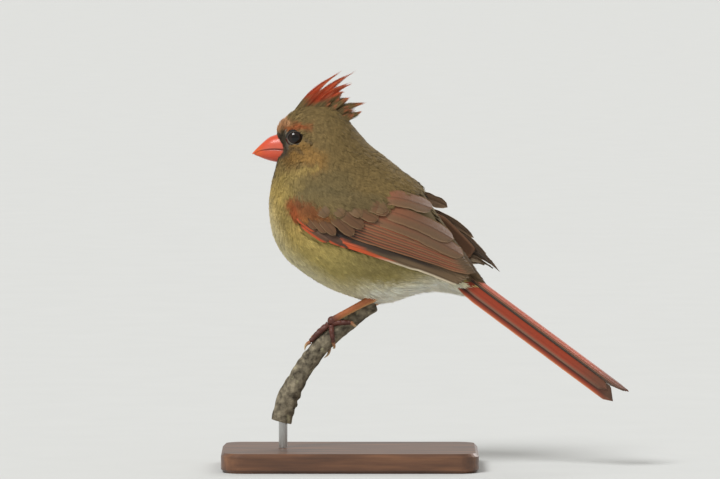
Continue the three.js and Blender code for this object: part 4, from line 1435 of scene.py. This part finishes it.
def build_lids(side, word, centre, material):
    """A soft rim of bare skin round the eye, paler below, beaded with small scales."""
    steps, sides, half_thick, beads = 72, 10, 0.27, 22
    turn, rise = ring_angles(steps), ring_angles(sides)[None, :, None]
    x, z = EYE_OPENING[0] * np.cos(turn), EYE_OPENING[1] * np.sin(turn)
    inward = np.sqrt(np.maximum((EYE_RADIUS + 0.12) ** 2 - x**2 - z**2, 0))
    middle = centre + np.stack([x, side * inward, z], axis=1)
    outwards = unit(np.stack([x, 0 * x, z], axis=1))[:, None]
    thick = (half_thick * (1 + 0.14 * np.sin(turn * beads)))[:, None, None]
    rings = middle[:, None] + thick * (outwards * (0.1 + np.cos(rise))
                                       + np.array([0.0, side, 0.0]) * np.sin(rise))
    points = rings.reshape(-1, 3)
    # The last ring joins the first one
    faces = outward(points, [grid_faces(steps + 1, sides, wrap=True) % len(points)])
    below = np.repeat(smooth_step(0.2, -0.5, np.sin(turn)), sides)
    colour = paint_over(rgb(58, 50, 42), len(points), (rgb(104, 96, 82), below))
    finish_piece(make_mesh(f"eyelids_{word}", points, faces, colour), material, "eye")


# Legs and feet

def in_mid_plane(x, z):
    return np.stack([x, np.zeros(len(x)), z], axis=1)


def perch_axis(station):
    """Centre, upper-left normal and radius of the perch at a station."""
    row = row_at(PERCH, station)
    ahead = row_at(PERCH, station + 0.05) - row
    ahead = unit(in_mid_plane(ahead[:, 0], ahead[:, 1]))
    return in_mid_plane(row[:, 0], row[:, 1]), in_mid_plane(-ahead[:, 2], ahead[:, 0]), row[:, 2]


def on_perch(station, angle, side, height):
    """Points at an angle in degrees round the perch and a height over its surface."""
    centre, upper_left, radius = perch_axis(station)
    turn = np.radians(angle)[:, None]
    aside = np.array([0.0, side, 0.0])
    return centre + (radius + height)[:, None] * (upper_left * np.cos(turn)
                                                  + aside * np.sin(turn))


def scale_material(name, roughness):
    """Scaly skin: plates from cells of noise over the part's own colour."""
    shader, place = painted_shader(name, roughness, 500.0, (0.78, 1.2), Specular_IOR_Level=0.4)
    cells = shader.node("TexVoronoi", Vector=place, Scale=1300.0)
    shader.bump(cells.outputs["Distance"], 0.00012, 0.7)
    return shader.material


def shank(leg):
    """The bare leg, with broad plates that step down its front and a pale underside."""
    count, sides, plates = 64, 20, 22
    row = row_at(leg, np.linspace(0.3, len(leg) - 1, count))
    steps = np.linspace(0, plates, count) % 1.0
    radii = row[:, 3] * (1.0 + 0.05 * (steps - 0.5))
    points, faces = closed_rings(tube_rings(row[:, :3], radii, sides, 0.88))
    pale = on_sides(smooth_step(-0.3, -0.9, np.cos(ring_angles(sides))), count, 0.0)
    down = on_rings(np.linspace(0, 1, count), sides)
    colour = paint_over(LEG_ORANGE, len(points), (LEG_PALE, 0.8 * pale),
                        (TOE_DARK, smooth_step(0.78, 0.96, down)))
    return points, faces, colour


def foot_ball(ankle):
    """The short round pad where the toes meet."""
    path = np.linspace(-1, 1, 14)
    centres = ankle + in_mid_plane(path * 1.9, path * -0.4)
    points, faces = closed_rings(tube_rings(centres, 2.0 * np.sqrt(1.04 - path**2), 16, 0.9))
    return (points, faces), np.tile(TOE_DARK, (len(points), 1))


def toe(root, end, radius, side):
    """A toe along the perch: pads swell between its joints, and fine plates ring it."""
    q, sides, pads, plates = np.linspace(0, 1, 40), 14, 3, 14
    station, angle = ((a + (b - a) * q) for a, b in zip(root, end))
    radii = radius * (1 - 0.25 * q) * (1 + 0.07 * np.cos(q * FULL_TURN * pads))
    centres = on_perch(station, angle, side, FOOT_GAP + radii * 0.92)
    ribs = 1 + 0.035 * ((q * plates) % 1.0 - 0.5)
    rounding = np.sqrt(np.clip(1.02 - np.clip((q - 0.94) / 0.06, 0, 1) ** 2, 0.02, 1))
    solid = closed_rings(tube_rings(centres, radii * ribs * rounding, sides))
    fade = on_rings(q, sides)
    colour = paint_over(TOE_DARK, len(fade), (TOE_DARK * 0.75, smooth_step(0.2, 0.8, fade)))
    return solid, colour


def claw(root, tip, radius, side):
    """A claw that arches from the toe's end down to the bark, paler towards its point."""
    q, sides = np.linspace(0, 1, 18), 12
    station, angle = ((a + (b - a) * q) for a, b in zip(root, tip))
    arch = FOOT_GAP + radius * 0.62 * (1 - q) + 0.8 * np.sin(np.pi * q) + 0.2 * q
    centres = on_perch(station, angle, side, arch)
    solid = closed_rings(tube_rings(centres, radius * 0.56 * (1 - q**1.5) + 0.1, sides))
    fade = on_rings(q, sides)
    colour = paint_over(rgb(150, 100, 70), len(fade),
                        (rgb(214, 184, 138), smooth_step(0.1, 0.7, fade)))
    return solid, colour


def build_legs():
    scales, horn = scale_material("leg_scales", 0.5), scale_material("claw_horn", 0.35)
    for side, word in SIDES.items():
        leg = LEGS[side] * [1, side, 1, 1]
        finish_piece(make_mesh(f"leg_{word}_shank", *shank(leg)), scales, "leg_skin",
                     f"leg_{word}")
        toes = [foot_ball(leg[-1, :3])]
        toes += [toe(root, end, radius, side) for root, end, _, radius in TOES[side]]
        claws = [claw(end, tip, radius, side) for _, end, tip, radius in TOES[side]]
        for part, members, material, nodes in (("toes", toes, scales, [f"foot_{word}"]),
                                               ("claws", claws, horn, [])):
            solids, colours = zip(*members)
            piece = make_mesh(f"foot_{word}_{part}", *join_solids(solids),
                              np.concatenate(colours))
            finish_piece(piece, material, "foot_skin", *nodes)


# Perch and stand

def bark_material():
    """Rough grey brown bark with cracks and pale lichen."""
    shader = Shader("bark_rough", 0.9, Specular_IOR_Level=0.2)
    place = shader.coordinates()
    base = shader.ramp(shader.noise(place, 330.0, 8.0), (0.3, rgb(56, 50, 42)),
                       (0.48, rgb(108, 100, 84)), (0.7, rgb(150, 140, 118)))
    lichen = shader.ramp(shader.noise(place, 230.0), (0.62, (0, 0, 0)), (0.7, (0.6, 0.6, 0.6)))
    blend = shader.node("Mix", data_type="RGBA", Factor=lichen)
    before, after = (socket for socket in blend.inputs if socket.type == "RGBA")
    shader.join(before, base)
    shader.join(after, (*rgb(168, 162, 130), 1.0))
    blended = next(socket for socket in blend.outputs if socket.type == "RGBA")
    grit = shader.span(shader.noise(place, 1100.0), 0.7, 1.3)
    shader.surface(Base_Color=shader.shade(blended, grit))
    shader.bump(shader.noise(place, 800.0, 8.0), 0.0005, 0.9)
    return shader.material


def bark_relief(along, turn):
    """How far the bark stands out: fine ridges all over, and a few knots."""
    rough = np.zeros_like(along)
    for _ in range(26):
        waves = rng.integers(1, 12)
        pitch = rng.uniform(0.15, 1.6)
        rough += np.sin(waves * turn + pitch * along + rng.uniform(0, FULL_TURN)) * 0.05
    for _ in range(7):
        at = rng.uniform(6, along[-1, 0] - 18)
        off = np.angle(np.exp(1j * (turn - rng.uniform(0, FULL_TURN))))
        knot = np.exp(-((along - at) / 1.7) ** 2 - (off / 0.5) ** 2)
        rough += knot * rng.uniform(0.5, 1.0)
    return np.clip(rough, -0.55, 0.75)


def build_perch():
    """The branch, with its bark's ridges and knots as real shape."""
    count, sides = 260, 72
    station = np.linspace(0, PERCH_END, count)
    centre, _, _ = perch_axis(station)
    _, upper_left, radius = perch_axis(np.minimum(station, PERCH_END - 0.06))
    turn = ring_angles(sides)
    runs = np.linalg.norm(np.diff(centre, axis=0), axis=1)
    along = np.cumsum(np.concatenate([[0], runs]))
    rough = bark_relief(*np.meshgrid(along, turn, indexing="ij"))
    # The feet and belly keep the bark's own level where they touch
    gripped = smooth_step(2.8, 3.6, station)[:, None]
    rough = rough * (1 - 0.6 * gripped) - 0.1 * gripped
    radii = (radius[:, None] + rough)[:, :, None]
    turn = turn[None, :, None]
    aside = np.array([0.0, -1.0, 0.0])
    rings = centre[:, None] + radii * (upper_left[:, None] * np.cos(turn) + aside * np.sin(turn))
    # The upper end is broken off, rounded and splintered
    shrink = np.array([0.03, 0.08, 0.16, 0.3, 0.55])[:, None, None]
    rings[-5:] += (centre[-5:, None] - rings[-5:]) * shrink
    splinter = np.sin(turn[0] * 3 + 1) * 0.8 + np.sin(turn[0] * 7) * 0.45
    rings[-1] += (centre[-1] - centre[-6]) / 6 * splinter
    piece = make_mesh("perch_branch", *closed_rings(rings))
    finish_piece(piece, bark_material(), "bark", "perch")


def walnut_material():
    shader = Shader("walnut", 0.42, Coat_Weight=0.25, Coat_Roughness=0.25)
    grain = shader.noise(shader.coordinates((1, 9, 9)), 26.0, 8.0)
    colour = shader.ramp(grain, (0.25, rgb(58, 36, 24)), (0.5, rgb(96, 62, 40)),
                         (0.75, rgb(128, 86, 56)))
    pores = shader.noise(shader.coordinates((1, 30, 30)), 90.0, 2.0)
    shader.surface(Base_Color=shader.shade(colour, shader.span(pores, 0.8, 1.15)))
    shader.bump(pores, 0.0001, 0.3)
    return shader.material


def steel_material():
    shader = Shader("rod_brushed", 0.32, Metallic=1.0)
    lines = shader.noise(shader.coordinates((60, 60, 3)), 60.0, 2.0)
    colour = shader.ramp(lines, (0.2, rgb(168, 168, 166)), (0.8, rgb(206, 206, 203)))
    shader.surface(Base_Color=colour, Roughness=shader.span(lines, 0.24, 0.42))
    return shader.material


def build_stand():
    """The plain stand: a plate with softened edges, and a round rod."""
    for node, material in (("stand_base", walnut_material()), ("stand_rod", steel_material())):
        piece = bpy.data.objects[node]
        piece.data.materials.clear()
        piece.data.materials.append(material)
    soften = bpy.data.objects["stand_base"].modifiers.new("soft_edges", "BEVEL")
    soften.width = 1.2 * MM
    soften.segments = 3
    soften.limit_method = "ANGLE"
    soften.angle_limit = math.radians(20)


# Stage, in metres

CAMERA_DISTANCE = 4.0
CAMERA_TARGET = Vector((0.0046, 0.0, 0.1051))
CAMERA_RISE = math.radians(3.0)
FRAME_WIDTH = 0.3312  # what the photo's width spans at the bird
FLOOR_HALF = 14.0
# Suns: brightness, angle that each fills in degrees, and the way it shines
LAMPS = {
    "key_light": (2.4, 24.0, (0.55, 0.8, -1.05)),
    "rim_light": (0.9, 30.0, (-0.5, -0.9, -0.6)),
}


def aimed(name, data, way):
    """A light or camera that looks along a way."""
    holder = bpy.data.objects.new(name, data)
    holder.rotation_mode = "QUATERNION"
    holder.rotation_quaternion = Vector(way).to_track_quat("-Z", "Y")
    bpy.context.scene.collection.objects.link(holder)
    return holder


def build_stage():
    corners = np.array([[-1, -1, 0], [1, -1, 0], [1, 1, 0], [-1, 1, 0]]) * FLOOR_HALF / MM
    floor = make_mesh("floor", corners, [np.array([[0, 1, 2, 3]])])
    shader = Shader("floor_paper", 0.9, Specular_IOR_Level=0.1)
    mottle = shader.noise(shader.coordinates(), 30.0)
    paper = shader.ramp(mottle, (0.0, (0.60, 0.61, 0.60)), (1.0, (0.63, 0.64, 0.63)))
    shader.surface(Base_Color=paper)
    floor.data.materials.append(shader.material)

    world = bpy.data.worlds.new("studio")
    world.use_nodes = True
    sky = world.node_tree.nodes["Background"].inputs
    sky["Color"].default_value = (1.0, 0.98, 0.94, 1)
    sky["Strength"].default_value = 0.5
    bpy.context.scene.world = world
    for name, (brightness, size, way) in LAMPS.items():
        light = bpy.data.lights.new(name, "SUN")
        light.energy = brightness
        light.angle = math.radians(size)
        aimed(name, light, way)

    camera = bpy.data.cameras.new("camera")
    camera.sensor_width = 36.0
    camera.lens = camera.sensor_width * CAMERA_DISTANCE / FRAME_WIDTH
    camera.clip_end = 40.0
    back = Vector((0, -math.cos(CAMERA_RISE), math.sin(CAMERA_RISE)))
    holder = aimed("camera", camera, -back)
    holder.location = CAMERA_TARGET + back * CAMERA_DISTANCE
    bpy.context.scene.camera = holder
    bpy.context.scene.view_settings.view_transform = "Standard"


build_stage()
build_skin()
build_coat()
build_wings()
build_tail()
build_crest()
build_bill()
build_eyes()
build_legs()
build_perch()
build_stand()
